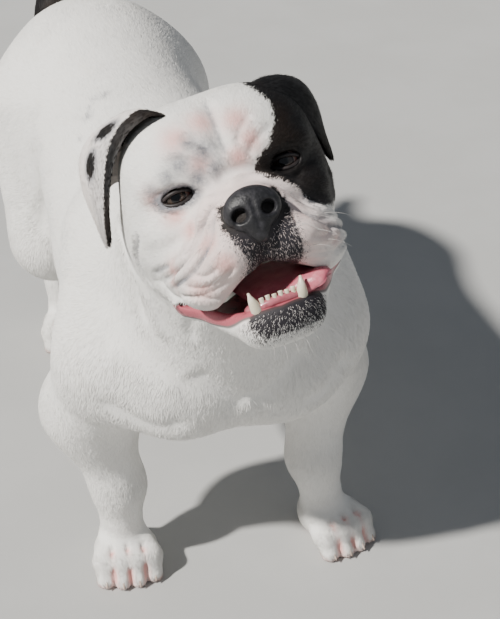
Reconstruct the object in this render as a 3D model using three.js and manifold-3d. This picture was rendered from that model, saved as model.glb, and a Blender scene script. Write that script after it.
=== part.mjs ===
// A standing English bulldog, life size, looking up with its mouth open. Millimetres, +Z up.
// The dog faces -Y and its left side is +X. It stands on Z = 0.
import * as THREE from "three";
import { mergeVertices } from "three/addons/utils/BufferGeometryUtils.js";
import Module from "manifold-3d";

const wasm = await Module();
wasm.setup();

// Driving dimensions
const GAP = 0.3; // clearance between neighbouring nodes
const GROWTH = 0.45; // how far a surface moves out where it cuts its neighbour, for that clearance
const WITHERS = 398; // height of the back over the shoulders
const RUMP_SHIFT = -24; // the hind end stands this far to the dog's right
const FRONT_PAW = 57; // width over the four toes
const HIND_PAW = 52;
const EYE_RADIUS = 12.2;
const EYE_SPREAD = 42; // half the distance between the eyes
const SKULL_HALF_WIDTH = 84;
const EAR_THICKNESS = 5;
const HEAD_AT = [-25, -197, 503]; // the point midway between the eyes
const HEAD_YAW = -6; // degrees, nose towards the dog's right
const HEAD_PITCH = 28; // degrees, nose up
const HEAD_ROLL = 13; // degrees, crown towards the dog's right

const JAW_CLEARANCE = 1.4; // between the jaw and the flews over it
const CLAW = { width: 8, tip: 1.4 };
const SPIKE_SIDES = 6; // of a claw or tooth
const WELD = 0.02; // corners closer than this become one

// Cell sizes of the meshes: coarse on the body, fine on the head and paws
const CELL = { torso: 27, neck: 22, leg: 17.5, tail: 17 };

// Distance functions. Each takes a point and gives a distance, negative inside.
const rad = THREE.MathUtils.degToRad;
const mix = (a, b, t) => a + (b - a) * t;

function smoothMin(a, b, k) {
  const h = Math.max(k - Math.abs(a - b), 0) / k;
  return Math.min(a, b) - (h * h * k) / 4;
}

function smoothMax(a, b, k) {
  return -smoothMin(-a, -b, k);
}

function ellipsoid([cx, cy, cz], [rx, ry, rz], turn) {
  const m = turn && new THREE.Matrix4()
    .makeRotationFromEuler(new THREE.Euler(...turn.map(rad), "XYZ"))
    .invert();
  const p = new THREE.Vector3();
  return (x, y, z) => {
    p.set(x - cx, y - cy, z - cz);
    if (m) p.applyMatrix4(m);
    const k0 = Math.hypot(p.x / rx, p.y / ry, p.z / rz);
    const k1 = Math.hypot(p.x / rx ** 2, p.y / ry ** 2, p.z / rz ** 2);
    return k1 < 1e-9 ? -Math.min(rx, ry, rz) : (k0 * (k0 - 1)) / k1;
  };
}

function limb([ax, ay, az], [bx, by, bz], ra, rb) {
  const dx = bx - ax, dy = by - ay, dz = bz - az;
  const dd = dx * dx + dy * dy + dz * dz;
  return (x, y, z) => {
    const dot = (x - ax) * dx + (y - ay) * dy + (z - az) * dz;
    const t = Math.min(1, Math.max(0, dot / dd));
    return Math.hypot(x - ax - t * dx, y - ay - t * dy, z - az - t * dz) - mix(ra, rb, t);
  };
}

// A smooth union of [blend radius, function] pairs; the first blend radius isn't used.
function blend(forms) {
  return (x, y, z) => {
    let d = forms[0][1](x, y, z);
    for (let i = 1; i < forms.length; i++) d = smoothMin(d, forms[i][1](x, y, z), forms[i][0]);
    return d;
  };
}

function carve(base, hole, k) {
  return (x, y, z) => smoothMax(base(x, y, z), -hole(x, y, z), k);
}

// The head's frame: origin midway between the eyes, nose towards -Y, crown up
const headFrame = new THREE.Matrix4()
  .makeTranslation(...HEAD_AT)
  .multiply(new THREE.Matrix4().makeRotationZ(rad(HEAD_YAW)))
  .multiply(new THREE.Matrix4().makeRotationX(rad(-HEAD_PITCH)))
  .multiply(new THREE.Matrix4().makeRotationY(rad(-HEAD_ROLL)));
const headInverse = headFrame.clone().invert();

function inHead(form) {
  const p = new THREE.Vector3();
  return (x, y, z) => {
    p.set(x, y, z).applyMatrix4(headInverse);
    return form(p.x, p.y, p.z);
  };
}

// Torso
const torsoForms = [
  [0, ellipsoid([0, -30, 280], [106, 98, 84])],
  [45, ellipsoid([-4, 85, 286], [118, 150, WITHERS - 288])],
  [45, ellipsoid([-14, 215, 314], [98, 130, 94])],
  [45, ellipsoid([RUMP_SHIFT + 4, 345, 338], [99, 112, 92])],
  [40, ellipsoid([RUMP_SHIFT + 3, 408, 320], [86, 62, 78])],
];
for (const s of [-1, 1]) {
  torsoForms.push(
    [40, limb([s * 66, 15, 350], [s < 0 ? -90 : 84, -42, 264], 54, 48)],
    [35, ellipsoid([s * 44, -90, 244], [50, 38, 42])],
  );
}

// Neck
const neckForms = [
  [60, limb([0, -5, 318], [-16, -100, 428], 90, 74)],
  [40, limb([-5, -70, 300], [-18, -125, 402], 62, 56)],
];

// Front legs: joints by side, the dog's right first
const FRONT = [
  {
    side: -1, toe: -4,
    shoulder: [-94, -42, 262], elbow: [-113, 2, 181], wrist: [-94, -8, 92], paw: [-93, -12, 0],
  },
  {
    side: 1, toe: 20,
    shoulder: [82, -42, 262], elbow: [111, 2, 184], wrist: [99, -20, 90], paw: [110, -31, 0],
  },
];
const frontForms = FRONT.map(({ shoulder, elbow, wrist, paw }) => [
  [40, limb(shoulder, elbow, 48, 42)],
  [30, limb(elbow, wrist, 40, 25)],
  [18, limb(wrist, [mix(wrist[0], paw[0], 0.7), mix(wrist[1], paw[1], 0.7), 38], 24, 21)],
]);

// Hind legs
const HIND = [
  {
    side: -1, toe: -8,
    hip: [-84, 352, 318], knee: [-90, 304, 190], hock: [-76, 415, 112], paw: [-70, 398, 0],
  },
  {
    side: 1, toe: 8,
    hip: [38, 352, 318], knee: [46, 304, 190], hock: [32, 415, 112], paw: [28, 398, 0],
  },
];
const hindForms = HIND.map(({ hip, knee, hock, paw }) => [
  [40, limb(hip, knee, 56, 44)],
  [40, ellipsoid([mix(hip[0], knee[0], 0.5), 362, 240], [36, 66, 84])],
  [30, limb(knee, hock, 38, 22)],
  [20, limb(hock, [paw[0], paw[1] + 8, 42], 21, 20)],
]);

// One paw's frame: x across the toes, -y ahead, turned by `turn` degrees
function pawFrame([px, py], turn) {
  const c = Math.cos(rad(turn)), s = Math.sin(rad(turn));
  return (x, y, z) => [px + x * c - y * s, py + x * s + y * c, z];
}

// Where the toes lie across a paw and how far each reaches ahead
const TOES = [0, 1, 2, 3].map((i) => ({ across: i - 1.5, reach: i === 1 || i === 2 ? 1 : 0.6 }));

// The sole is cut flat at the floor later on.
function pawForms(paw, turn, width) {
  const at = pawFrame(paw, turn);
  const forms = [[18, ellipsoid(at(0, 4, 17), [width * 0.43, 31, 22], [0, 0, turn])]];
  for (const { across, reach } of TOES) {
    const x = across * width * 0.265;
    forms.push(
      [9, limb(at(x * 0.85, -8 - 4 * reach, 25), at(x, -20 - 9 * reach, 22), 12, 11.5)],
      [7, limb(at(x, -20 - 9 * reach, 19), at(x * 1.04, -29 - 11 * reach, 6.5), 11, 9.5)],
    );
  }
  return forms;
}

// Tail, short and thick at its root
const TAIL = [[RUMP_SHIFT - 6, 430, 352], [RUMP_SHIFT - 16, 478, 368], [RUMP_SHIFT - 20, 506, 402]];
const tailForms = [
  [25, limb(TAIL[0], TAIL[1], 27, 24)],
  [12, limb(TAIL[1], TAIL[2], 24, 14)],
];

// Head, in its own frame: origin midway between the eyes, nose towards -Y
const EYE_DEPTH = 11;
const EYE_HEIGHT = 4;
const upperForms = [
  [0, ellipsoid([0, 58, 18], [68, 68, 48])],
];
for (const s of [-1, 1]) {
  upperForms.push(
    [25, ellipsoid([s * 28, 42, 24], [44, 50, 43])],
    [22, ellipsoid([s * (SKULL_HALF_WIDTH - 33), 60, -20], [32, 46, 42])],
    [12, ellipsoid([s * 40, 14, 19], [24, 18, 10], [0, s * 12, 0])],
    [14, ellipsoid([s * 44, 18, -20], [26, 24, 16])],
  );
}
upperForms.push(
  [18, ellipsoid([0, -14, -26], [40, 40, 28])],
  [10, ellipsoid([0, -38, -26], [26, 18, 20])],
);
for (const s of [-1, 1]) {
  upperForms.push(
    [10, ellipsoid([s * 24, -30, -46], [26, 25, 20])],
    [12, ellipsoid([s * 42, -10, -56], [25, 30, 26])],
    [10, ellipsoid([s * 52, 22, -48], [19, 28, 24])],
    [5, ellipsoid([s * EYE_SPREAD, EYE_DEPTH, EYE_HEIGHT], [15.5, 15.5, 15])],
  );
}
const mouth = blend([
  [0, ellipsoid([0, 5, -80], [42, 48, 14])],
  [6, ellipsoid([0, -40, -75], [24, 22, 11])],
]);
const upperHead = carve(blend(upperForms), mouth, 6);

// Lower jaw with its trough for the tongue
const CHIN = [0, -27, -102];
const jawForms = [[0, ellipsoid(CHIN, [27, 19, 19])]];
for (const s of [-1, 1]) {
  jawForms.push(
    [14, limb([s * 18, -20, -102], [s * 50, 34, -72], 15, 15)],
    [12, limb([s * 50, 34, -72], [s * 52, 70, -50], 16, 24)],
  );
}
jawForms.push([14, ellipsoid([0, 26, -94], [36, 46, 18])]);
const jawField = carve(blend(jawForms), mouth, 5);

// Nose pad with two nostrils
const NOSE = [0, -51, -18.5];
const noseField = (() => {
  let pad = blend([
    [0, ellipsoid(NOSE, [21.5, 12, 17])],
    [5, ellipsoid([0, -54, -29], [9, 8, 14])],
  ]);
  for (const s of [-1, 1]) {
    pad = carve(pad, ellipsoid([s * 11, -62, -20], [6, 9, 5.4], [0, s * 25, 0]), 2);
  }
  return pad;
})();

// Lower teeth: a root on the jaw's rim, a height and a width
const TEETH = [-1, 1].map((s) => ({ at: [s * 17.5, -33, -88], height: 11, width: 9, tip: 0.9 }));
for (let i = 0; i < 6; i++) {
  const x = (i - 2.5) * 4.6;
  TEETH.push({ at: [x, -37 + Math.abs(x) * 0.15, -88], height: 4 + (i % 2), width: 5.6, tip: 2 });
}

// Sheets: rows of points from root to tip, each row from one edge to the other
const EAR_ROWS = [
  [[20, 22, 57], [34, 44, 58], [50, 60, 50], [56, 76, 36], [56, 84, 18]],
  [[36, 11, 68], [51, 35, 75], [68, 60, 68], [76, 82, 50], [72, 92, 28]],
  [[59, 18, 61], [76, 43, 66], [90, 70, 60], [92, 88, 42], [85, 95, 22]],
  [[76, 32, 42], [90, 51, 46], [98, 73, 38], [98, 86, 26], [91, 90, 10]],
  [[88, 47, 14], [94, 59, 14], [97, 71, 8], [98, 79, 2], [93, 80, -5]],
  [[95, 64, -13], [96, 66, -13], [97, 68, -13.5], [97.5, 70, -14], [97, 72, -15]],
];
// How each ear is set: the left one lies closer and hangs less far
const EAR_SET = { "-1": { out: 1, up: -2, hang: 1, droop: 0 }, 1: { out: -8, up: -4, hang: 0.86, droop: 9 } };
const FRONT_DROOP = [1, 1, 0.5, 0.6, 0.5, 0]; // share of the droop that the front edge of each row takes
const EAR_CREST = 60; // height of the fold that an ear hangs from
const TONGUE_ROWS = [
  [[-24, 40, -74], [-10, 40, -70], [4, 40, -69], [18, 40, -70], [30, 40, -75]],
  [[-22, 15, -79], [-8, 13, -75], [8, 12, -73], [24, 12, -74], [36, 14, -79]],
  [[-18, -8, -84], [-4, -12, -81], [12, -14, -79], [28, -12, -78], [41, -6, -80]],
  [[-8, -21, -88], [4, -24, -86], [18, -26, -83], [30, -25, -79], [41, -19, -80]],
  [[10, -26, -87], [18, -28, -85], [27, -31, -82], [36, -30, -79], [43, -24, -80]],
  [[26, -31, -88], [31, -35, -88], [36, -36, -86], [40, -33, -83], [44, -27, -83]],
];

// Meshing: surface nets on a grid, each vertex then moved onto the surface inside its own cell
const CORNERS = [[0, 0, 0], [1, 0, 0], [0, 1, 0], [1, 1, 0], [0, 0, 1], [1, 0, 1], [0, 1, 1], [1, 1, 1]];
const EDGES = [
  [0, 1], [2, 3], [4, 5], [6, 7], [0, 2], [1, 3], [4, 6], [5, 7], [0, 4], [1, 5], [2, 6], [3, 7],
];

// Whether the corners of a cell that `mask` marks hang together along its edges
function joined(mask) {
  let seen = mask & -mask;
  for (let pass = 0; pass < 8; pass++) {
    for (const [a, b] of EDGES) {
      const pair = (1 << a) | (1 << b);
      if ((mask & pair) === pair && seen & pair) seen |= pair;
    }
  }
  return seen === mask;
}
const PLAIN = Array.from({ length: 256 }, (_, mask) => joined(mask) && joined(255 - mask));

// Where a cell would hold two sheets of the surface, the corner nearest to it changes sides.
function unpinch(value, nx, ny, nz) {
  for (let pass = 0, changed = true; changed && pass < 40; pass++) {
    changed = false;
    for (let k = 0; k + 1 < nz; k++) {
      for (let j = 0; j + 1 < ny; j++) {
        for (let i = 0; i + 1 < nx; i++) {
          const at = CORNERS.map(([a, b, c]) => i + a + nx * (j + b + ny * (k + c)));
          const mask = at.reduce((m, q, n) => (value[q] < 0 ? m | (1 << n) : m), 0);
          if (PLAIN[mask]) continue;
          const q = at.reduce((best, p) => (Math.abs(value[p]) < Math.abs(value[best]) ? p : best));
          value[q] = (value[q] < 0 ? 1 : -1) * (0.4 + pass);
          changed = true;
        }
      }
    }
  }
}

// Planes of a grid along one axis, from `from` on in stretches of [end, spacing]
function planes(from, ...stretches) {
  const at = [from];
  for (const [end, spacing] of stretches) {
    const start = at[at.length - 1];
    const n = Math.max(1, Math.round((end - start) / spacing));
    for (let i = 1; i <= n; i++) at.push(start + ((end - start) * i) / n);
  }
  return at;
}
const around = (p, reach) => [p.map((c) => c - reach), p.map((c) => c + reach)];
const even = ([min, max], cell) => min.map((from, w) => planes(from, [max[w], cell]));

function netsOf(field, [xs, ys, zs]) {
  const [nx, ny, nz] = [xs.length, ys.length, zs.length];
  const value = new Float64Array(nx * ny * nz);
  const id = (i, j, k) => i + nx * (j + ny * k);
  for (let k = 0; k < nz; k++) {
    for (let j = 0; j < ny; j++) {
      for (let i = 0; i < nx; i++) {
        const edge = Math.min(i, j, k) < 2 || i === nx - 1 || j === ny - 1 || k === nz - 1;
        value[id(i, j, k)] = edge ? 5 : field(xs[i], ys[j], zs[k]);
      }
    }
  }
  unpinch(value, nx, ny, nz);
  const vertexOf = new Int32Array(value.length).fill(-1);
  const vertices = [];
  for (let k = 0; k + 1 < nz; k++) {
    for (let j = 0; j + 1 < ny; j++) {
      for (let i = 0; i + 1 < nx; i++) {
        const v = CORNERS.map(([a, b, c]) => value[id(i + a, j + b, k + c)]);
        let count = 0;
        const sum = [0, 0, 0];
        for (const [a, b] of EDGES) {
          if (v[a] < 0 === v[b] < 0) continue;
          const t = v[a] / (v[a] - v[b]);
          for (let w = 0; w < 3; w++) sum[w] += mix(CORNERS[a][w], CORNERS[b][w], t);
          count++;
        }
        if (!count) continue;
        vertexOf[id(i, j, k)] = vertices.length / 3;
        const low = [xs[i], ys[j], zs[k]], high = [xs[i + 1], ys[j + 1], zs[k + 1]];
        vertices.push(...settle(field, low.map((c, w) => mix(c, high[w], sum[w] / count)), low, high));
      }
    }
  }
  const triangles = [];
  const apart = (a, b) => Math.hypot(...[0, 1, 2].map((i) => vertices[3 * a + i] - vertices[3 * b + i]));
  const quad = (a, b, c, d, flip) => {
    const ring = flip ? [a, d, c, b] : [a, b, c, d];
    const [p, q, r, t] = apart(a, c) <= apart(b, d) ? ring : [...ring.slice(1), ring[0]];
    triangles.push(p, q, r, p, r, t);
  };
  for (let k = 1; k + 1 < nz; k++) {
    for (let j = 1; j + 1 < ny; j++) {
      for (let i = 1; i + 1 < nx; i++) {
        const here = value[id(i, j, k)] < 0;
        const v = (a, b, c) => vertexOf[id(i - a, j - b, k - c)];
        if (here !== value[id(i + 1, j, k)] < 0) quad(v(0, 1, 1), v(0, 0, 1), v(0, 0, 0), v(0, 1, 0), !here);
        if (here !== value[id(i, j + 1, k)] < 0) quad(v(1, 0, 1), v(1, 0, 0), v(0, 0, 0), v(0, 0, 1), !here);
        if (here !== value[id(i, j, k + 1)] < 0) quad(v(1, 1, 0), v(0, 1, 0), v(0, 0, 0), v(1, 0, 0), !here);
      }
    }
  }
  return { vertices, triangles };
}

function settle(field, p, low, high) {
  const h = 0.5;
  const reach = (high[0] - low[0]) / 4;
  const slopeAlong = (w) => {
    const a = [...p], b = [...p];
    a[w] += h;
    b[w] -= h;
    return (field(...a) - field(...b)) / (2 * h);
  };
  for (let step = 0; step < 4; step++) {
    const d = THREE.MathUtils.clamp(field(...p), -reach, reach);
    const slope = [0, 1, 2].map(slopeAlong);
    const steep = Math.max(slope.reduce((sum, g) => sum + g * g, 0), 0.2);
    p = p.map((c, w) => {
      const margin = (high[w] - low[w]) * 0.05;
      return THREE.MathUtils.clamp(c - (slope[w] * d) / steep, low[w] + margin, high[w] - margin);
    });
  }
  return p;
}

// A solid from a mesh of nets; `frame` places it, and `grow` first moves its surface out by that much.
function solidFrom({ vertices, triangles }, frame = new THREE.Matrix4(), grow = 0) {
  const geometry = new THREE.BufferGeometry()
    .setAttribute("position", new THREE.Float32BufferAttribute(vertices, 3))
    .setIndex(triangles);
  geometry.computeVertexNormals();
  const { position, normal } = geometry.attributes;
  const p = new THREE.Vector3(), n = new THREE.Vector3();
  for (let i = 0; i < position.count; i++) {
    p.fromBufferAttribute(position, i).addScaledVector(n.fromBufferAttribute(normal, i), grow);
    position.setXYZ(i, ...p.applyMatrix4(frame));
  }
  return new wasm.Manifold(
    new wasm.Mesh({ numProp: 3, vertProperties: position.array, triVerts: new Uint32Array(triangles) }),
  );
}
const solid = (field, grid, frame) => solidFrom(netsOf(field, grid), frame);

// A three.js geometry as a solid
function solidOf(geometry, matrix) {
  const bare = new THREE.BufferGeometry().setAttribute("position", geometry.getAttribute("position").clone());
  if (geometry.index) bare.setIndex(geometry.index);
  if (matrix) bare.applyMatrix4(matrix);
  const merged = mergeVertices(bare, 1e-3);
  return new wasm.Manifold(
    new wasm.Mesh({
      numProp: 3,
      vertProperties: merged.attributes.position.array,
      triVerts: new Uint32Array(merged.index.array),
    }),
  );
}

// A large block whose lower face passes through `point`, with its inside on the side of `normal`
function block(point, normal, grow = 0, size = 1400) {
  const up = new THREE.Vector3(...normal).normalize();
  const turn = new THREE.Quaternion().setFromUnitVectors(new THREE.Vector3(0, 0, 1), up);
  const at = new THREE.Vector3(...point).addScaledVector(up, size / 2 - grow);
  const m = new THREE.Matrix4().compose(at, turn, new THREE.Vector3(1, 1, 1));
  return solidOf(new THREE.BoxGeometry(size, size, size), m);
}

function largest(made) {
  return made.decompose().sort((a, b) => b.volume() - a.volume())[0];
}

function geometryOf(made) {
  const m = made.getMesh();
  const cut = new THREE.BufferGeometry()
    .setAttribute("position", new THREE.BufferAttribute(m.vertProperties, 3))
    .setIndex(new THREE.BufferAttribute(m.triVerts, 1));
  const welded = mergeVertices(cut, WELD);
  const corners = welded.index.array;
  const index = [];
  for (let i = 0; i < corners.length; i += 3) {
    const [a, b, c] = corners.slice(i, i + 3);
    if (a !== b && b !== c && c !== a) index.push(a, b, c);
  }
  return welded.setIndex(index);
}

// A curved sheet as a closed mesh, with triangles alike on both faces: `rows` are smoothed both ways,
// and it's thinnest at its free edges.
function leaf(rows, thickness, frame, steps) {
  const smooth = (points, n) => new THREE.CatmullRomCurve3(points, false, "centripetal").getSpacedPoints(n);
  const across = rows.map((row) => smooth(row.map((p) => new THREE.Vector3(...p)), steps[1]));
  const down = across[0].map((_, j) => smooth(across.map((row) => row[j]), steps[0]));
  const at = (i, j) => down[Math.min(steps[1], Math.max(0, j))][Math.min(steps[0], Math.max(0, i))];
  const positions = [], index = [];
  const side = (steps[0] + 1) * (steps[1] + 1);
  for (const face of [1, -1]) {
    for (let i = 0; i <= steps[0]; i++) {
      for (let j = 0; j <= steps[1]; j++) {
        const u = at(i + 1, j).clone().sub(at(i - 1, j));
        const v = at(i, j + 1).clone().sub(at(i, j - 1));
        const edge = Math.min(1, 0.35 + Math.min(j, steps[1] - j, steps[0] - i) * 0.4);
        const p = at(i, j).clone().addScaledVector(u.cross(v).normalize(), (face * thickness * edge) / 2);
        positions.push(...p.applyMatrix4(frame).toArray());
      }
    }
  }
  const id = (i, j) => i * (steps[1] + 1) + j;
  for (let i = 0; i < steps[0]; i++) {
    for (let j = 0; j < steps[1]; j++) {
      const [a, b, c, d] = [id(i, j), id(i + 1, j), id(i + 1, j + 1), id(i, j + 1)];
      index.push(a, b, c, a, c, d, a + side, c + side, b + side, a + side, d + side, c + side);
    }
  }
  const rim = [];
  for (let j = 0; j < steps[1]; j++) rim.push(id(0, j));
  for (let i = 0; i < steps[0]; i++) rim.push(id(i, steps[1]));
  for (let j = steps[1]; j > 0; j--) rim.push(id(steps[0], j));
  for (let i = steps[0]; i > 0; i--) rim.push(id(i, 0));
  rim.forEach((a, k) => {
    const b = rim[(k + 1) % rim.length];
    index.push(a, b, b + side, a, b + side, a + side);
  });
  const geometry = new THREE.BufferGeometry()
    .setAttribute("position", new THREE.Float32BufferAttribute(positions, 3))
    .setIndex(index);
  const made = solidOf(geometry);
  if (made.volume() > 0) return made;
  for (let i = 0; i < index.length; i += 3) [index[i + 1], index[i + 2]] = [index[i + 2], index[i + 1]];
  return solidOf(geometry.setIndex(index));
}

// A tapered spike from `from` to `to`
function spike(from, to, width, sides, bluntness) {
  const a = new THREE.Vector3(...from), b = new THREE.Vector3(...to);
  const along = b.clone().sub(a);
  const way = along.clone().normalize();
  const turn = new THREE.Quaternion().setFromUnitVectors(new THREE.Vector3(0, 1, 0), way);
  const m = new THREE.Matrix4().compose(a.lerp(b, 0.5), turn, new THREE.Vector3(1, 1, 1));
  return solidOf(new THREE.CylinderGeometry(bluntness, width / 2, along.length(), sides), m);
}

// The whole flesh as one field
const bodyField = blend([
  ...torsoForms,
  ...neckForms,
  ...frontForms.flat(),
  ...hindForms.flat(),
  ...tailForms,
  ...FRONT.flatMap(({ paw, toe }) => pawForms(paw, toe, FRONT_PAW)),
  ...HIND.flatMap(({ paw, toe }) => pawForms(paw, toe, HIND_PAW)),
]);
const skullField = inHead(upperHead);
const flesh = (x, y, z) => smoothMin(bodyField(x, y, z), skullField(x, y, z), 30);

// Cuts. Each is a point and the direction of the part that it frees.
const inFrame = (p) => new THREE.Vector3(...p).applyMatrix4(headFrame).toArray();
const floor = { point: [0, 0, 0], normal: [0, 0, 1] };
const headCut = {
  point: inFrame([0, 98, 0]),
  normal: new THREE.Vector3(0, -1, 0.15).transformDirection(headFrame).toArray(),
};
const neckCut = { point: [0, -66, 330], normal: [0, -0.8, 0.6] };
const tailCuts = [
  { point: [RUMP_SHIFT - 8, 450, 354], normal: [-0.3, 0.93, 0.18] },
  { point: [RUMP_SHIFT - 40, 470, 338], normal: [0.35, 0, 1] },
];
const legCuts = [
  ...FRONT.map(({ side }) => [
    { point: [side * 100, 0, 226], normal: [side * 0.45, 0, -0.89] },
    { point: [side * 56, 0, 0], normal: [side, 0, 0] },
    { point: [0, 105, 0], normal: [0, -1, 0] },
  ]),
  ...HIND.map(({ side }) => [
    { point: [RUMP_SHIFT + side * 55, 330, 282], normal: [side * 0.62, 0.2, -0.76] },
    { point: [RUMP_SHIFT + side * 8, 0, 0], normal: [side, 0, 0] },
    { point: [0, 225, 0], normal: [0, 1, 0] },
  ]),
];
const pawCut = { point: [0, 0, 50], normal: [0, 0, -1] };
const reversed = (cut) => ({ point: cut.point, normal: cut.normal.map((v) => -v) });

const keep = (made, cut, grow = 0) => made.intersect(block(cut.point, cut.normal, grow));
const keepAll = (made, cuts, grow = 0) => cuts.reduce((m, cut) => keep(m, cut, grow), made);

// The group and its parts
const COAT = 0xe9e6e0;
const NEAR_BLACK = 0x2b2829;
const PINK = 0xb5616a;
const whole = new THREE.Group();
function addPart(name, made, colour, roughness = 0.85) {
  const material = new THREE.MeshStandardMaterial({ color: colour, roughness, metalness: 0 });
  const mesh = new THREE.Mesh(geometryOf(largest(made)), material);
  mesh.name = name;
  whole.add(mesh);
}

const SIDES = [{ s: -1, name: "right" }, { s: 1, name: "left" }];

// Head, meshed in its own frame, with sockets for the eyes and the nose pad
const inWorld = (field) => {
  const p = new THREE.Vector3();
  return (x, y, z) => {
    p.set(x, y, z).applyMatrix4(headFrame);
    return field(p.x, p.y, p.z);
  };
};
const HEAD_GRID = [
  planes(-116, [-72, 14], [72, 8.5], [116, 14]),
  planes(-94, [10, 7.8], [40, 10], [160, 17]),
  planes(-128, [30, 8], [108, 14]),
];
const local = new THREE.Matrix4();
const round = (c, [rx, ry, rz], [n, m]) => solidOf(
  new THREE.SphereGeometry(1, n, m),
  local.clone().makeTranslation(...c).scale(new THREE.Vector3(rx, ry, rz)).premultiply(headFrame),
);
const eyeAt = (s) => [s * EYE_SPREAD, EYE_DEPTH, EYE_HEIGHT];
const noseGrid = even(around(NOSE, 32), 4.4);
const noseNets = netsOf(noseField, noseGrid);
const headNets = netsOf(inWorld(flesh), HEAD_GRID);
const headGrown = solidFrom(headNets, headFrame, GROWTH);
let head = keep(solidFrom(headNets, headFrame), headCut).subtract(solidFrom(noseNets, headFrame, GROWTH));
for (const { s } of SIDES) {
  head = head.subtract(round(eyeAt(s), [1, 1, 1].map((r) => r * (EYE_RADIUS + GAP)), [12, 8]));
  head = head.subtract(round([s * EYE_SPREAD, -5, EYE_HEIGHT], [13, 14, 6.5], [12, 8]));
}
addPart("head", head, COAT);
addPart("nose", solidFrom(noseNets, headFrame), NEAR_BLACK, 0.45);
for (const { s, name } of SIDES) {
  addPart("eye_" + name, round(eyeAt(s), [1, 1, 1].map((r) => r * EYE_RADIUS), [12, 8]), 0x3a2418, 0.1);
}

// Ears
for (const { s, name } of SIDES) {
  const { out, up, hang, droop } = EAR_SET[s];
  const sink = (i, j) => droop * FRONT_DROOP[i] * Math.max(0, 1 - j / 2);
  const height = (z, i, j) => EAR_CREST + (z - EAR_CREST) * hang + up - sink(i, j);
  const rows = EAR_ROWS.map((row, i) => row.map(([x, y, z], j) => [s * (x + out), y, height(z, i, j)]));
  const ear = leaf(rows, EAR_THICKNESS, headFrame, [8, 6]);
  addPart("ear_" + name, ear.subtract(headGrown), s < 0 ? 0x8d8788 : NEAR_BLACK);
}

// Jaw with its teeth, and the tongue
const jawGrid = even(around([0, 10, -90], 92), 9.8);
const fleshInHead = inWorld(flesh);
const clearOfHead = (x, y, z) => Math.max(jawField(x, y, z), JAW_CLEARANCE - fleshInHead(x, y, z));
const jawNets = netsOf(clearOfHead, jawGrid);
let jaw = keep(solidFrom(jawNets, headFrame), headCut);
const toothed = (grow) => TEETH.map(({ at: [x, y, z], height, width, tip }) => spike(
  inFrame([x, y + 1, z - 10]),
  inFrame([x * 1.08, y - 1, z + height + grow]),
  width + 2 * grow,
  SPIKE_SIDES,
  tip + grow,
));
jaw = toothed(0).reduce((made, tooth) => made.add(tooth), jaw).subtract(headGrown);
addPart("jaw", jaw, 0x77686a);
const mouthParts = [headGrown, solidFrom(jawNets, headFrame, GROWTH), ...toothed(GROWTH)];
const tongueLeaf = leaf(TONGUE_ROWS, 8, headFrame, [8, 5]);
const tongue = mouthParts.reduce((made, part) => made.subtract(part), tongueLeaf);
addPart("tongue", tongue, PINK, 0.35);

// Neck, torso and tail
let neck = solid(flesh, even([[-190, -250, 160], [170, 140, 640]], CELL.neck));
neck = keep(keep(neck, neckCut), reversed(headCut), -GAP);
addPart("neck", neck, COAT);
let torso = solid(bodyField, even([[-230, -230, 60], [200, 560, 500]], CELL.torso));
torso = keep(torso, reversed(neckCut), -GAP);
for (const cuts of [...legCuts, tailCuts]) {
  const wedge = keepAll(solidOf(new THREE.BoxGeometry(1200, 1200, 1200)), cuts, GAP);
  torso = torso.subtract(wedge);
}
addPart("torso", torso, COAT);
const tail = solid(bodyField, even([[-160, 370, 250], [60, 560, 470]], CELL.tail));
addPart("tail", keepAll(tail, tailCuts), NEAR_BLACK);

// Legs, and paws with their claws
[...FRONT, ...HIND].forEach(({ side, paw, toe }, i) => {
  const fore = i < 2;
  const name = (fore ? "front_" : "hind_") + (side < 0 ? "right" : "left");
  const width = fore ? FRONT_PAW : HIND_PAW;
  const [x, y] = paw;
  const [low, high] = side < 0 ? [-210, fore ? 0 : RUMP_SHIFT + 20] : [fore ? 0 : RUMP_SHIFT - 20, 200];
  const [back, front, top] = fore ? [160, -190, 360] : [540, 170, 440];
  const legGrid = [
    planes(low, [high, CELL.leg]),
    planes(front, [back, CELL.leg]),
    planes(-10, [120, 14], [top, 22]),
  ];
  addPart("leg_" + name, keepAll(solid(bodyField, legGrid), [...legCuts[i], reversed(pawCut)]), COAT);
  const grid = [
    planes(x - 64, [x + 64, 8.2]),
    planes(y - 72, [y - 12, 8], [y + 68, 12]),
    planes(-30, [30, 8], [90, 14]),
  ];
  let made = keep(keep(solid(bodyField, grid), pawCut, -GAP), floor);
  const at = pawFrame(paw, toe);
  for (const { across, reach } of TOES) {
    const cx = across * width * 0.275;
    const root = at(cx, -26 - 11 * reach, 14), end = at(cx * 1.02, -41 - 11 * reach, 4.5);
    made = made.add(spike(root, end, CLAW.width, SPIKE_SIDES, CLAW.tip));
  }
  addPart("paw_" + name, made, COAT);
});

// The origin is the middle of the whole animal's box, on the floor.
const reach = new THREE.Box3().setFromObject(whole);
whole.position.set(-(reach.min.x + reach.max.x) / 2, -(reach.min.y + reach.max.y) / 2, 0);

export default whole;
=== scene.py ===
"""An English bulldog standing with its head raised and its mouth open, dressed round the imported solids.

The flesh is one surface, taken off a distance field with the forms of the solids and finer ones on the
head. The short coat is thin tufts over that surface. Lengths are in millimetres in the frame that the
solids were designed in (X to the dog's left, its face to -Y, Z up), and to_row brings them to the row.
"""

import math

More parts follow.
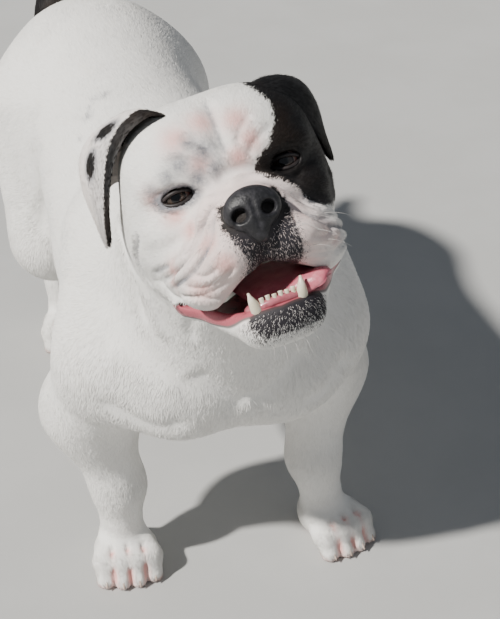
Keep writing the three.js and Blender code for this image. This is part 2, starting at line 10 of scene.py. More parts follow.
import bpy
import numpy as np
from mathutils import Matrix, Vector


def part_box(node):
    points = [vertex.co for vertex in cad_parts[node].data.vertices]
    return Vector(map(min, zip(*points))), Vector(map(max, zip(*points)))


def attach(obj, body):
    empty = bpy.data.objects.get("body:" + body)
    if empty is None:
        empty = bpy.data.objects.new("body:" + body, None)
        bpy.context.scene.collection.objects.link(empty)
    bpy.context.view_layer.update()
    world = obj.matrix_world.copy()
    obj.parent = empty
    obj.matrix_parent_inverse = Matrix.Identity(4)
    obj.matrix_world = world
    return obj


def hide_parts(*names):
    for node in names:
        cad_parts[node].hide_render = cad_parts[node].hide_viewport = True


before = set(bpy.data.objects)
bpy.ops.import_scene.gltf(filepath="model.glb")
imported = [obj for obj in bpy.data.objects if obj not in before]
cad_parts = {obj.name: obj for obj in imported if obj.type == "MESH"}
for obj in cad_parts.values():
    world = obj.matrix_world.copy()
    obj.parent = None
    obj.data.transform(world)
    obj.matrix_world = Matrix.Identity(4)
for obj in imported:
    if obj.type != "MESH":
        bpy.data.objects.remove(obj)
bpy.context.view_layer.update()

# -------- driving sizes

MM = 0.001
RUMP = -24.0  # x of the rump's middle
HEAD_AT = np.array([-25.0, -197.0, 503.0])
HEAD_YAW, HEAD_PITCH, HEAD_ROLL = -6.0, 28.0, 13.0
HEAD_REACH = 200.0  # the head's forms and markings end within this distance of HEAD_AT on each axis
HEAD_MIDDLE = [0, 20, -20]  # in the head's own frame
SIDES = (-1, 1)  # the dog's right and left
SIDE_NAMES = {-1: "right", 1: "left"}
EYE_RADIUS = 12.2
EYE_SPREAD, EYE_DEPTH, EYE_HEIGHT = 42.0, 11.0, 4.0
FRONT_PAW, HIND_PAW = 57.0, 52.0
TOE_SPACING = 0.265  # from toe to toe, as a share of the paw's width
SOLE = 0.3  # height of the skin under the feet

CAMERA_AT = np.array([-298.0, -1195.0, 1065.0])
CAMERA_HEADING, CAMERA_DROP, CAMERA_ROLL = -15.9, 33.0, -0.8
CAMERA_FOCUS = 1600 / 619  # focal length as a share of the picture's height
SENSOR = 36

COAT_DEPTH = 0.9  # from the skin to the outside of the coat on the body
FACE_COAT_DEPTH = 0.5
BODY_STEP, HEAD_STEP = 3.8, 1.8  # size of the skin's cells
BLOCK = 4  # cells on each side of a block of the grid
FAR = 1000.0
OUTSIDE = -20.0  # stands for a place well outside a marking, in mm inside it
REACH = 62.0  # no form blends with another from further off

TUFT_SHAPE = 0.11  # a tuft's width as a share of its length
COVER = 1.0  # layers of tufts at each place
PIECE_TUFTS = 45000  # most tufts in one piece of coat
EAR_TUFTS = 9000
TUFT_POINTS = 5
TUFT_FLOOR = 0.2  # no tuft comes nearer to the floor
UV_PATCH = 0.003  # size of a tuft on the coat's map

WHITE = (0.86, 0.845, 0.81)
CREAM = (0.74, 0.66, 0.54)
GREY = (0.24, 0.24, 0.26)
PINK = (0.80, 0.44, 0.40)
BLACK = (0.008, 0.0075, 0.008)
BROWN_BLACK = (0.018, 0.012, 0.009)
SOFT_BLACK = (0.026, 0.024, 0.030)
MOUTH_PINK = (0.40, 0.095, 0.12)
MOUTH_DARK = (0.20, 0.045, 0.06)
LIP_DARK = (0.06, 0.035, 0.035)

rng = np.random.default_rng(11)


def spin(axis, degrees):
    """Matrix of a turn about one axis."""
    c, s = math.cos(math.radians(degrees)), math.sin(math.radians(degrees))
    turns = {
        "x": [[1, 0, 0], [0, c, -s], [0, s, c]],
        "y": [[c, 0, s], [0, 1, 0], [-s, 0, c]],
        "z": [[c, -s, 0], [s, c, 0], [0, 0, 1]],
    }
    return np.array(turns[axis])


HEAD = spin("z", HEAD_YAW) @ spin("x", -HEAD_PITCH) @ spin("y", -HEAD_ROLL)


def to_head(p):
    """Places in the head's own frame: x to its left, y backwards, z up through the skull."""
    return (np.asarray(p, float) - HEAD_AT) @ HEAD


def from_head(p):
    return np.asarray(p, float) @ HEAD.T + HEAD_AT


def at_head(p):
    return np.abs(p - HEAD_AT).max(axis=1) < HEAD_REACH


def shift_of_row():
    """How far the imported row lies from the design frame, read off an eyeball."""
    low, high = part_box("eye_left")
    centre = (np.array(low) + np.array(high)) / 2 / MM
    return centre - from_head([EYE_SPREAD, EYE_DEPTH, EYE_HEIGHT])


SHIFT = shift_of_row()


def to_row(p):
    return (np.asarray(p, float) + SHIFT) * MM


def mix(a, b, t):
    return a + (b - a) * t


def ramp(value, start, end):
    """Smooth step from 0 at start to 1 at end."""
    t = np.clip((value - start) / (end - start), 0, 1)
    return t * t * (3 - 2 * t)


def unit(v):
    return v / np.maximum(np.linalg.norm(v, axis=-1, keepdims=True), 1e-9)


def noise(p, size, seed):
    """Smooth noise between about -1 and 1, from sines that don't repeat together."""
    total = np.zeros(len(p))
    for i in range(5):
        a = [math.sin(seed * 7 + i * 3), math.cos(seed * 5 + i * 2), math.sin(seed * 3 + i * 5 + 1)]
        total += np.sin(p @ (np.array(a) * (2.2 + 0.9 * i) / size) + seed * 1.7 + i * 2.1)
    return total / 3.2


# -------- distance fields


def smooth_min(a, b, k):
    h = np.maximum(k - np.abs(a - b), 0) / max(k, 1e-3)
    return np.minimum(a, b) - h * h * k / 4


def carve(base, hole, k):
    """base without hole, rounded over k."""
    return -smooth_min(-base, hole, k)


def ellipsoid(centre, radii, turn=None):
    c, r = np.array(centre, float), np.array(radii, float)

    def distance(p):
        q = p - c if turn is None else (p - c) @ turn
        near = np.sqrt(((q / r) ** 2).sum(1))
        slope = np.sqrt(((q / r**2) ** 2).sum(1))
        return near * (near - 1) / np.maximum(slope, 1e-9)

    return c, max(radii), distance


def limb(a, b, ra, rb):
    """A rod with round ends, of radius ra at a and rb at b."""
    a, b = np.array(a, float), np.array(b, float)
    span = b - a

    def distance(p):
        t = np.clip((p - a) @ span / (span @ span), 0, 1)
        return np.linalg.norm(p - a - t[:, None] * span, axis=1) - mix(ra, rb, t)

    return (a + b) / 2, np.linalg.norm(span) / 2 + max(ra, rb), distance


def blend(forms, p):
    """All forms as one field. Each is (k, form), where k is how far it melts into those before it."""
    total = np.full(len(p), FAR)
    for k, (centre, reach, distance) in forms:
        near = np.abs(p - centre).max(axis=1) < reach + REACH
        if near.any():
            total[near] = smooth_min(total[near], distance(p[near]), k)
    return total


# -------- forms of the body


def torso_forms():
    forms = [
        (0, ellipsoid([0, -30, 280], [106, 98, 84])),
        (45, ellipsoid([-4, 85, 286], [118, 150, 110])),
        (45, ellipsoid([-14, 215, 314], [98, 130, 94])),
        (45, ellipsoid([RUMP + 4, 345, 338], [99, 112, 92])),
        (40, ellipsoid([RUMP + 3, 408, 320], [86, 62, 78])),
    ]
    for s in SIDES:
        forms.append((40, limb([s * 66, 15, 350], [84 if s > 0 else -90, -42, 264], 54, 48)))
        forms.append((35, ellipsoid([s * 44, -90, 244], [50, 38, 42])))
    return forms


NECK_FORMS = [
    (60, limb([0, -5, 318], [-16, -100, 428], 90, 74)),
    (40, limb([-5, -70, 300], [-18, -125, 402], 62, 56)),
]

# The joints of each leg, the place of its paw on the floor and how far the paw is turned to the left
FRONT, HIND = ("shoulder", "elbow", "wrist", "paw", "turn"), ("hip", "knee", "hock", "paw", "turn")
FRONT_LEGS = {
    "front_right": dict(zip(FRONT, ([-94, -42, 262], [-113, 2, 181], [-94, -8, 92], [-93, -12], -4))),
    "front_left": dict(zip(FRONT, ([82, -42, 262], [111, 2, 184], [99, -20, 90], [110, -31], 20))),
}
HIND_LEGS = {
    "hind_right": dict(zip(HIND, ([-84, 352, 318], [-90, 304, 190], [-76, 415, 112], [-70, 398], -8))),
    "hind_left": dict(zip(HIND, ([38, 352, 318], [46, 304, 190], [32, 415, 112], [28, 398], 8))),
}
LEGS = {**FRONT_LEGS, **HIND_LEGS}
TAIL = [[RUMP - 6, 430, 352], [RUMP - 16, 478, 368], [RUMP - 20, 506, 402]]
TAIL_FORMS = [(25, limb(TAIL[0], TAIL[1], 27, 24)), (12, limb(TAIL[1], TAIL[2], 24, 14))]


def front_forms(leg):
    wrist, paw = leg["wrist"], leg["paw"]
    ankle = [mix(wrist[0], paw[0], 0.7), mix(wrist[1], paw[1], 0.7), 38]
    return [
        (40, limb(leg["shoulder"], leg["elbow"], 48, 42)),
        (30, limb(leg["elbow"], wrist, 40, 25)),
        (18, limb(wrist, ankle, 24, 21)),
    ]


def hind_forms(leg):
    hip, knee, hock, paw = leg["hip"], leg["knee"], leg["hock"], leg["paw"]
    return [
        (40, limb(hip, knee, 56, 44)),
        (40, ellipsoid([(hip[0] + knee[0]) / 2, 362, 240], [36, 66, 84])),
        (30, limb(knee, hock, 38, 22)),
        (20, limb(hock, [paw[0], paw[1] + 8, 42], 21, 20)),
    ]


def paw_width(name):
    return FRONT_PAW if name in FRONT_LEGS else HIND_PAW


def paw_place(leg, x, y, z):
    """A place on a paw: x across it, y behind its middle, z up."""
    turned = spin("z", leg["turn"]) @ np.array([x, y, 0])
    return [leg["paw"][0] + turned[0], leg["paw"][1] + turned[1], z]


def toes():
    """(place across the paw, how far forward it comes) of the four toes."""
    return [(i - 1.5, 0.6 if i in (0, 3) else 1.0) for i in range(4)]


def paw_forms(leg, width):
    forms = [(18, ellipsoid(paw_place(leg, 0, 4, 17), [width * 0.43, 31, 22], spin("z", leg["turn"])))]
    for across, reach in toes():
        x = across * width * TOE_SPACING
        knuckle = paw_place(leg, x * 0.85, -8 - 4 * reach, 25)
        middle = paw_place(leg, x, -20 - 9 * reach, 22)
        forms.append((9, limb(knuckle, middle, 12, 11.5)))
        lower = paw_place(leg, x, -20 - 9 * reach, 19)
        tip = paw_place(leg, x * 1.04, -29 - 11 * reach, 6.5)
        forms.append((7, limb(lower, tip, 11, 9.5)))
    return forms


def body_forms():
    forms = torso_forms() + NECK_FORMS
    for name, leg in LEGS.items():
        forms += front_forms(leg) if name in FRONT_LEGS else hind_forms(leg)
    forms += TAIL_FORMS
    for name, leg in LEGS.items():
        forms += paw_forms(leg, paw_width(name))
    return forms


BODY_FORMS = body_forms()

# -------- forms of the head, in its own frame

CHIN = [0, -27, -102]
NOSE = [0, -51, -18.5]


def pair(k, centre, radii, tilt=0):
    """One form on each side of the head, turned about the head's length by tilt degrees."""
    x, y, z = centre
    return [(k, ellipsoid([s * x, y, z], radii, spin("y", s * tilt) if tilt else None)) for s in SIDES]


def upper_forms():
    forms = [(0, ellipsoid([0, 58, 18], [68, 68, 48]))]
    forms += pair(25, [28, 42, 24], [44, 50, 43])
    forms += pair(22, [51, 60, -20], [32, 46, 42])
    forms += pair(12, [40, 14, 19], [24, 18, 10], 12)
    forms += pair(14, [44, 18, -20], [26, 24, 16])
    forms.append((18, ellipsoid([0, -14, -26], [40, 40, 28])))
    forms.append((10, ellipsoid([0, -38, -26], [26, 18, 20])))
    forms += pair(10, [24, -30, -46], [26, 25, 20])
    forms += pair(12, [42, -10, -56], [25, 30, 26])
    forms += pair(10, [52, 22, -48], [19, 28, 24])
    return forms + pair(5, [EYE_SPREAD, EYE_DEPTH, EYE_HEIGHT], [15.5, 15.5, 15])


def jaw_forms():
    forms = [(0, ellipsoid(CHIN, [27, 19, 19]))]
    for s in SIDES:
        forms.append((14, limb([s * 18, -20, -102], [s * 50, 34, -72], 15, 15)))
        forms.append((12, limb([s * 50, 34, -72], [s * 52, 70, -50], 16, 24)))
    forms.append((14, ellipsoid([0, 26, -94], [36, 46, 18])))
    return forms


UPPER_FORMS = upper_forms()
JAW_FORMS = jaw_forms()
MOUTH_FORMS = [(0, ellipsoid([0, 5, -80], [42, 48, 14])), (6, ellipsoid([0, -40, -75], [24, 22, 11]))]
EYE_OPENING = [13.6, 14.0, 6.6]

# Folds of the face as (depth, width, whether the left has it mirrored, places), where a ridge has a depth
# below 0
FOLDS = [
    (4.2, 3.0, True, [[-14, -36, -4], [-24, -32, -7], [-32, -31, -15], [-40, -27, -25], [-51, -28, -36],
     [-63, -17, -44], [-70, 6, -50], [-74, 30, -54]]),
    (2.8, 2.8, True, [[-22, -13, 5], [-31, -11, -2], [-38, -17, -15], [-45, -20, -28], [-55, -22, -37]]),
    (-1.6, 3.4, True, [[-19, -26, 1], [-28, -21, -4], [-35, -24, -15], [-43, -24, -26], [-53, -24, -35]]),
    (2.4, 2.6, True, [[-23, -41, -11], [-30, -41, -22], [-37, -44, -32], [-45, -43, -41], [-56, -33, -50],
     [-66, -12, -56], [-71, 14, -62]]),
    (2.4, 2.8, True, [[-77, 30, -12], [-79, 39, -21], [-82, 57, -35], [-79, 68, -48], [-74, 74, -59]]),
    (2.0, 2.6, True, [[-66, -4, -40], [-74, 22, -44], [-79, 48, -52]]),
    (1.7, 2.4, True, [[-66, 2, -66], [-60, -24, -64], [-50, -33, -70], [-38, -33, -72], [-24, -37, -66]]),
    (1.7, 2.4, True, [[-67, -2, -60], [-57, -31, -66], [-41, -39, -66], [-26, -47, -61]]),
    (1.6, 2.4, True, [[-63, -26, -55], [-48, -39, -62], [-32, -48, -58], [-24, -52, -50]]),
    (1.2, 2.2, True, [[-56, -30, -48], [-44, -42, -53], [-34, -50, -48]]),
    (-3.0, 4.2, False, [[-12, -28, 1], [2, -22, 2.5], [12, -21, 1.5], [24, -24, -5], [36, -24, -16],
     [46, -18, -28]]),
    (2.4, 3.0, False, [[-16, -20, 9], [-2, -16, 11], [12, -15, 10], [26, -16, 3], [38, -16, -7]]),
    (2.8, 2.8, False, [[22, -40, -10], [26, -44, -17], [30, -44, -24], [40, -41, -33], [49, -39, -40],
     [60, -26, -46]]),
    (2.2, 1.9, False, [[0, -60, -36], [0, -58, -46], [0, -50, -60]]),
    (2.0, 6.0, False, [[0, -12, 20], [-1, -8, 36], [0, 2, 52], [0, 20, 66]]),
    (1.6, 2.0, True, [[-28, -6, 10], [-34, -6, 13.5], [-43, -5, 14.5], [-52, -1, 12], [-58, 6, 8]]),
    (1.4, 2.0, True, [[-28, -8, -3], [-36, -8, -7.5], [-46, -6, -8.5], [-55, 0, -6]]),
    (1.0, 2.2, True, [[-24, -11, -7], [-36, -10, -12], [-50, -6, -13]]),
    (1.3, 3.0, True, [[-14, -13, 14], [-20, -12, 22], [-30, -9, 28], [-42, -4, 30]]),
    (1.2, 3.0, True, [[-9, -12, 24], [-16, -9, 36], [-28, -5, 44]]),
]
FOLD_GAIN = 1.45
STAIN_AND_SHADE_DEPTH = 2.6  # folds of the face deeper than this get grey along their bottoms, partly stain and partly painted shade
STAIN_AND_SHADE_WIDTH = 2.3

# The inner side of the lower lip, which shows between the flews and the chin
LIP_BAND = [[-68, 66, -72], [-66, 45, -74], [-63, 24, -79], [-50, 8, -87], [-38, -13, -91], [-29, -22, -91],
            [-21, -32, -89]]
GUM_LINE = [[-21, -30, -90], [-14, -36, -90], [0, -39, -90], [14, -36, -90], [21, -30, -90]]
LIP_SLIT = [[-70, 72, -66], [-66, 45, -69], [-62, 24, -74], [-50, 6, -80], [-38, -14, -82]]


def along(points, p):
    """Distance of each place from a run of straight stretches, and how far along the run it is, 0 to 1."""
    points = np.array(points, float)
    nearest, where = np.full(len(p), FAR), np.zeros(len(p))
    for i, (a, b) in enumerate(zip(points[:-1], points[1:])):
        span = b - a
        t = np.clip((p - a) @ span / max(span @ span, 1e-9), 0, 1)
        d = np.linalg.norm(p - a - t[:, None] * span, axis=1)
        closer = d < nearest
        nearest[closer], where[closer] = d[closer], (i + t[closer]) / (len(points) - 1)
    return nearest, where


def mouth_field(q):
    return blend(MOUTH_FORMS, q)


def head_field(body, q):
    """The body's field with the head added and the mouth and lids opened, at places in the head's frame."""
    mouth = mouth_field(q)
    upper = carve(blend(UPPER_FORMS, q), mouth, 6)
    jaw = carve(blend(JAW_FORMS, q), mouth, 5)
    value = smooth_min(body, upper, 30)
    melted = np.maximum(ramp(q[:, 1], 52, 84), 0.6 * ramp(q[:, 0], 8, 30))
    value = mix(smooth_min(value, jaw, 1.5), smooth_min(value, jaw, 12), melted)
    value = carve(value, mouth + 0.4, 2)
    slit, t = along(LIP_SLIT, q)
    value = carve(value, slit - mix(0.6, 2.6, t), 2)
    for s in SIDES:
        opening = ellipsoid([s * EYE_SPREAD, -5, EYE_HEIGHT], EYE_OPENING)[2]
        value = carve(value, opening(q), 1.5)
    return value


# Creases of the body as (depth, width, places)
BODY_FOLDS = [
    (2.6, 8.0, [[-106, 212, 352], [-110, 240, 300], [-107, 266, 245], [-100, 280, 205]]),
    (3.2, 5.0, [[-89, -64, 410], [-91, -94, 405], [-89, -107, 386], [-85, -108, 359], [-80, -112, 330]]),
    (-2.4, 7.0, [[-78, -110, 402], [-74, -122, 380], [-70, -124, 352], [-66, -126, 325]]),
    (2.0, 5.0, [[-30, -160, 395], [-44, -150, 370], [-46, -140, 335]]),
    (2.0, 5.0, [[30, -160, 390], [44, -148, 365], [46, -138, 330]]),
    (3.6, 11.0, [[-112, -66, 262], [-98, -96, 246], [-82, -112, 234], [-64, -118, 236], [-48, -122, 252]]),
    (-2.5, 18.0, [[-112, -76, 296], [-92, -110, 286], [-74, -124, 276], [-56, -130, 284]]),
    (3.0, 12.0, [[-48, -134, 300], [-30, -136, 282], [-12, -137, 264], [2, -137, 252]]),
    (3.0, 12.0, [[2, -137, 252], [22, -136, 268], [42, -132, 284], [58, -124, 300]]),
    (3.0, 11.0, [[96, -96, 270], [82, -110, 250], [66, -118, 240], [50, -122, 246]]),
    (2.4, 8.0, [[0, -112, 216], [0, -60, 208], [0, 0, 204]]),
]


def toe_lines():
    """The clefts between the toes of all four paws, from the top down."""
    lines = []
    for name, leg in LEGS.items():
        for i in (-1, 0, 1):
            x = i * paw_width(name) * TOE_SPACING
            reach = 1 if i == 0 else 0.75
            places = [(-20, 37), (-28, 31), (-35 - 3 * reach, 20), (-40 - 4 * reach, 8), (-38 - 4 * reach, 0)]
            lines.append([paw_place(leg, x, y, z) for y, z in places])
    return lines


TOE_LINES = toe_lines()


def bare_field(p):
    """The skin without its creases."""
    value = blend(BODY_FORMS, p)
    near = at_head(p)
    value[near] = head_field(value[near], to_head(p[near]))
    return value


def crease_lines():
    """All creases as (depth, width, line along the skin, whether it is one of the face)."""
    creases = []
    for deep, width, both, points in FOLDS:
        for s in SIDES if both else (-1,):
            gain = FOLD_GAIN * (0.8 if s > 0 else 1.0)
            line = from_head([[-s * x, y, z] for x, y, z in points])
            creases.append((gain * deep, width, on_skin(line), True))
    for deep, width, points in BODY_FOLDS:
        creases.append((deep, width, on_skin(points), False))
    for line in TOE_LINES:
        creases.append((1.8, 2.4, np.array(line), False))
    return creases


def on_skin(points):
    """A smooth run through places near the skin, moved onto it."""
    return settle(bare_field, spline(points, 3 * len(points)), 12, 4)


def crease_depth(p, bare):
    """How deep the creases lie at each place, and how near it is to the bottom of a deep fold of the face,
    where grey goes as stain and painted shade. bare is its height over the skin without creases, so that only
    the distance along the skin counts."""
    depth, stain_and_shade = np.zeros(len(p)), np.zeros(len(p))
    for deep, width, line, of_face in CREASES:
        reach = 3 * width + abs(deep)
        near = ((p > line.min(axis=0) - reach) & (p < line.max(axis=0) + reach)).all(axis=1)
        if not near.any():
            continue
        distance, t = along(line, p[near])
        distance = np.sqrt(np.maximum(distance**2 - bare[near] ** 2, 0))
        fade = ramp(t, -0.01, 0.16) * ramp(t, 1.01, 0.8)
        depth[near] += deep * fade * np.exp(-((distance / width) ** 2))
        # Grey along the bottoms of deep face folds: partly stain, partly painted shade in the crease
        if of_face and deep > STAIN_AND_SHADE_DEPTH:
            stain_and_shade[near] = np.maximum(stain_and_shade[near], fade * np.exp(-((distance / STAIN_AND_SHADE_WIDTH) ** 2)))
    return depth, stain_and_shade


def skin_field(p):
    """The whole skin, under the coat."""
    p = np.asarray(p, float)
    value = bare_field(p)
    value += crease_depth(p, value)[0]
    from_middle = np.linalg.norm(p - HEAD_AT, axis=1)
    value += mix(FACE_COAT_DEPTH, COAT_DEPTH, ramp(from_middle, 110, 190))
    return np.maximum(value, SOLE - p[:, 2])


# -------- surfaces from fields


def grid_axis(low, high, fine_low, fine_high, coarse, fine):
    """Places along one axis, close together between fine_low and fine_high."""
    places = [low]
    while places[-1] < high or len(places) % BLOCK:
        inside = fine_low <= places[-1] < fine_high
        places.append(places[-1] + (fine if inside else coarse))
    return np.array(places)


def lattice(x, y, z):
    """All places of a grid with these axes, one a row."""
    return np.stack(np.meshgrid(x, y, z, indexing="ij"), -1).reshape(-1, 3)


def sample(axes, field):
    """The field on a grid, in full only in the blocks that the surface may cross."""
    blocks = [a.reshape(-1, BLOCK) for a in axes]
    coarse = field(lattice(*[b.mean(axis=1) for b in blocks]))
    span = lattice(*[np.ptp(b, axis=1) for b in blocks])
    near = np.abs(coarse) < np.linalg.norm(span, axis=1) + 5
    shape = [len(b) for b in blocks]
    values = coarse.reshape(shape)
    for axis in range(3):
        values = np.repeat(values, BLOCK, axis=axis)
    first = np.argwhere(near.reshape(shape)) * BLOCK
    index = (first[:, None] + lattice(*[np.arange(BLOCK)] * 3)[None]).reshape(-1, 3)
    points = np.stack([axes[k][index[:, k]] for k in range(3)], -1)
    values[index[:, 0], index[:, 1], index[:, 2]] = field(points)
    return values


CORNERS = [(x, y, z) for x in (0, 1) for y in (0, 1) for z in (0, 1)]


def surface(axes, values):
    """Points and quads of the surface where values pass 0, one point in each cell that it crosses."""
    inside = values < 0
    cells_shape = [n - 1 for n in values.shape]
    count = np.zeros(cells_shape, np.int8)
    for x, y, z in CORNERS:
        count += inside[x : x + cells_shape[0], y : y + cells_shape[1], z : z + cells_shape[2]]
    live = (count > 0) & (count < 8)
    cells = np.argwhere(live)
    index = np.full(cells_shape, -1, np.int64)
    index[live] = np.arange(len(cells))
    total, hits = np.zeros((len(cells), 3)), np.zeros(len(cells))
    for a in CORNERS:
        for axis in range(3):
            if a[axis]:
                continue
            b = tuple(1 if k == axis else a[k] for k in range(3))
            ia, ib = cells + a, cells + b
            va, vb = values[tuple(ia.T)], values[tuple(ib.T)]
            crossed = (va < 0) != (vb < 0)
            t = np.where(crossed, va / np.where(crossed, va - vb, 1), 0)
            pa = np.stack([axes[k][ia[:, k]] for k in range(3)], -1)
            pb = np.stack([axes[k][ib[:, k]] for k in range(3)], -1)
            total[crossed] += (pa + t[:, None] * (pb - pa))[crossed]
            hits += crossed
    quads = []
    for axis in range(3):
        low = [slice(None)] * 3
        high = [slice(None)] * 3
        low[axis], high[axis] = slice(None, -1), slice(1, None)
        a, b = inside[tuple(low)], inside[tuple(high)]
        at = np.argwhere(a != b)
        u, v = (axis + 1) % 3, (axis + 2) % 3
        keep = (at[:, u] > 0) & (at[:, v] > 0)
        keep &= (at[:, u] < cells_shape[u]) & (at[:, v] < cells_shape[v])
        at = at[keep]
        du, dv = np.eye(3, dtype=int)[u], np.eye(3, dtype=int)[v]
        ring = np.stack([index[tuple((at - step).T)] for step in (0 * du, du, du + dv, dv)], -1)
        outwards = a[tuple(at.T)]
        ring[~outwards] = ring[~outwards][:, ::-1]
        quads.append(ring)
    quads = np.concatenate(quads)
    return total / hits[:, None], quads[(quads >= 0).all(axis=1)]


def slope(field, p):
    """Which way the field rises, as unit vectors, and how fast."""
    step = 0.4
    rise = np.stack([(field(p + d) - field(p - d)) for d in np.eye(3) * step], -1) / (2 * step)
    size = np.linalg.norm(rise, axis=1)
    return rise / np.maximum(size, 1e-6)[:, None], size


def settle(field, p, reach, rounds=2):
    """Points moved onto the surface, by reach at most in each round."""
    for _ in range(rounds):
        way, size = slope(field, p)
        move = np.clip(field(p) / np.maximum(size, 0.3), -reach, reach)
        p = p - way * move[:, None]
    return p


# -------- markings, with painted shade in deep folds and round the eyes


def polygon_depth(ring, x, z):
    """How far each place lies inside a ring of corners, below 0 outside it."""
    ring = np.array(ring, float)
    p = np.stack([x, z], -1)
    nearest, inside = np.full(len(p), FAR), np.zeros(len(p), bool)
    for a, b in zip(ring, np.roll(ring, -1, axis=0)):
        span = b - a
        t = np.clip((p - a) @ span / (span @ span), 0, 1)
        nearest = np.minimum(nearest, np.linalg.norm(p - a - t[:, None] * span, axis=1))
        spans_it = (a[1] > z) != (b[1] > z)
        rise = span[1] if abs(span[1]) > 1e-9 else 1e-9
        inside ^= spans_it & (x < a[0] + (z - a[1]) * span[0] / rise)
    return np.where(inside, nearest, -nearest)


# Edges as (x, z) seen from the front of the head: the black over the left eye and ear, and that between
# nose and lip
PATCH_EDGE = [
    [33, 120], [35, 66], [41, 55], [45, 47], [42, 34], [31, 19], [20, 12], [15, 3], [22, -3], [31, -8],
    [41, -19], [48, -29], [57, -36], [74, -38], [140, -30], [140, 120],
]
NOSE_DARK_EDGE = [
    [-22, -10], [-24, -24], [-20, -38], [-14, -52], [-20, -66], [-24, -76], [20, -76], [27, -58], [26, -40],
    [27, -22], [22, -8],
]

# Along an ear from its base to its tip: how wide it is, and how wide the black is at the front edge of
# the right ear on its outer and inner sides, in mm
EAR_STEPS = [0, 0.2, 0.4, 0.6, 0.8, 1]
EAR_WIDTHS = [86, 114, 109, 84, 46, 8]
BAND_OUTSIDE = [19, 17, 11, 6, 4, 3]
BAND_INSIDE = [60, 55, 40, 16, 6, 3]
# Blotches on its outer side as (how far along it, how far across it, size along, size across)
EAR_BLOTCHES = [(0.38, 0.215, 9, 9), (0.58, 0.25, 11, 7)]
EAR_LENGTH = 125
# Soft spots as (x, y, z, size), those of the face in the head's frame
GREY_PLACES = [
    (-34, -11, 26, 9), (-14, -12, 30, 10), (-24, -12, 12, 8), (-11, -13, 15, 8), (-44, -6, 20, 7),
    (-22, -10, 38, 7), (-56, 2, 14, 6),
]
PINK_PLACES = [
    (-37, -44, -31, 12), (-31, -54, -48, 12), (-42, -13, -21, 9), (-48, -2, -8, 9), (20, -13, 27, 10),
    (15, -7, 44, 11), (-32, -8, 46, 12), (32, -48, -34, 10), (42, -38, -50, 13), (-60, -6, -48, 12),
    (-8, -4, 52, 12), (-56, 6, 8, 9), (-48, -32, -60, 12), (52, -34, -58, 7), (8, -14, 18, 9),
    (-20, -14, 22, 9),
]
BACK_SPOTS = [
    (-45, 190, 400, 5), (-55, 193, 398, 4), (-66, 173, 389, 5), (-79, 153, 378, 3), (-62, 184, 393, 3),
]
LIP_WIDTHS = (4.6, 2.5)  # of the lip's inner side, on the dog's right and left


def near_places(p, places):
    """How strongly each place lies near one of some soft spots, 0 to 1."""
    total = np.zeros(len(p))
    for x, y, z, size in places:
        total = np.maximum(total, np.exp(-((np.linalg.norm(p - [x, y, z], axis=1) / size) ** 2)))
    return total


def patch_depth(q):
    """How far inside the black of the left eye and ear a place of the head lies, in mm."""
    depth = polygon_depth(PATCH_EDGE, q[:, 0], q[:, 2])
    return np.minimum(depth, 88 - q[:, 1])


def dark_round_nose(q):
    """The black between nose and lip, in mm inside it."""
    depth = polygon_depth(NOSE_DARK_EDGE, q[:, 0], q[:, 2])
    return np.where(q[:, 1] < -24, depth, OUTSIDE)


def dark_of_chin(q):
    depth = 25 - np.linalg.norm((q - [6, -38, -98]) * [0.78, 0.9, 1.3], axis=1)
    return np.minimum(depth, q[:, 2] + 111)


def marks_of_head(h, stain_and_shade):
    """Markings at places in the head's frame, with a share for how near each lies to the bottom of a deep
    fold, where the grey is partly stain and partly painted shade in the crease: mm inside the black and
    mouth, and shares of the others."""
    nose, chin = dark_round_nose(h), dark_of_chin(h)
    black = np.maximum(np.maximum(patch_depth(h), nose), chin)
    # Grey spots of the skin, and grey along the bottoms of deep folds, partly stain and partly painted shade
    grey = np.maximum(1.05 * near_places(h, GREY_PLACES), 1.1 * stain_and_shade)
    for s in SIDES:
        eye = np.linalg.norm((h - [s * EYE_SPREAD, 0, EYE_HEIGHT]) * [0.72, 0.4, 1.35], axis=1)
        black = np.maximum(black, (10.4 if s > 0 else 8.6) - eye)
        # Painted shade: a grey ring round each eye, in the hollow of the lids
        grey = np.maximum(grey, 1.25 * ramp(eye, 17, 9.5))
    muzzle = ramp(np.linalg.norm(h - [-6, -40, -40], axis=1), 75, 35)
    flews = np.where(h[:, 0] > 26, 0.6, 1.0)
    inner = np.maximum(0.9 - mouth_field(h), 2.2 - along(GUM_LINE, h)[0])
    for s, width in zip(SIDES, LIP_WIDTHS):
        band = along([[-s * x, y, z] for x, y, z in LIP_BAND], h)[0]
        inner = np.maximum(inner, width - band)
    return {
        "black": black,
        "ticked": np.maximum(ramp(nose, -9, -1) * ramp(h[:, 2], -24, -36), ramp(chin, -9, -2)),
        "grey": grey,
        "pink": np.maximum(flews * near_places(h, PINK_PLACES), 0.42 * muzzle),
        "mouth": np.where(h[:, 1] < 80, inner, OUTSIDE),
    }


def marks_of_skin(p):
    """The same at places anywhere on the skin, in the design frame."""
    marks = {
        "black": np.full(len(p), OUTSIDE),
        "ticked": np.zeros(len(p)),
        "grey": 0.75 * near_places(p, BACK_SPOTS),
        "pink": np.zeros(len(p)),
        "mouth": np.full(len(p), OUTSIDE),
    }
    near = at_head(p)
    stain_and_shade = crease_depth(p[near], bare_field(p[near]))[1]
    for name, values in marks_of_head(to_head(p)[near], stain_and_shade).items():
        marks[name][near] = values
    tail = ramp(p[:, 1], 448, 462) * 24 - along(TAIL, p)[0] * 0.2 - 4
    marks["black"] = np.maximum(marks["black"], np.where(p[:, 1] > 440, tail, OUTSIDE))
    for line in TOE_LINES:
        cleft = along(line[1:4], p)[0]
        marks["pink"] = np.maximum(marks["pink"], 1.2 * np.exp(-((cleft / 3.4) ** 2)))
    marks["pink"] = np.maximum(marks["pink"], 0.5 * ramp(p[:, 2], 9, 3))
    return marks


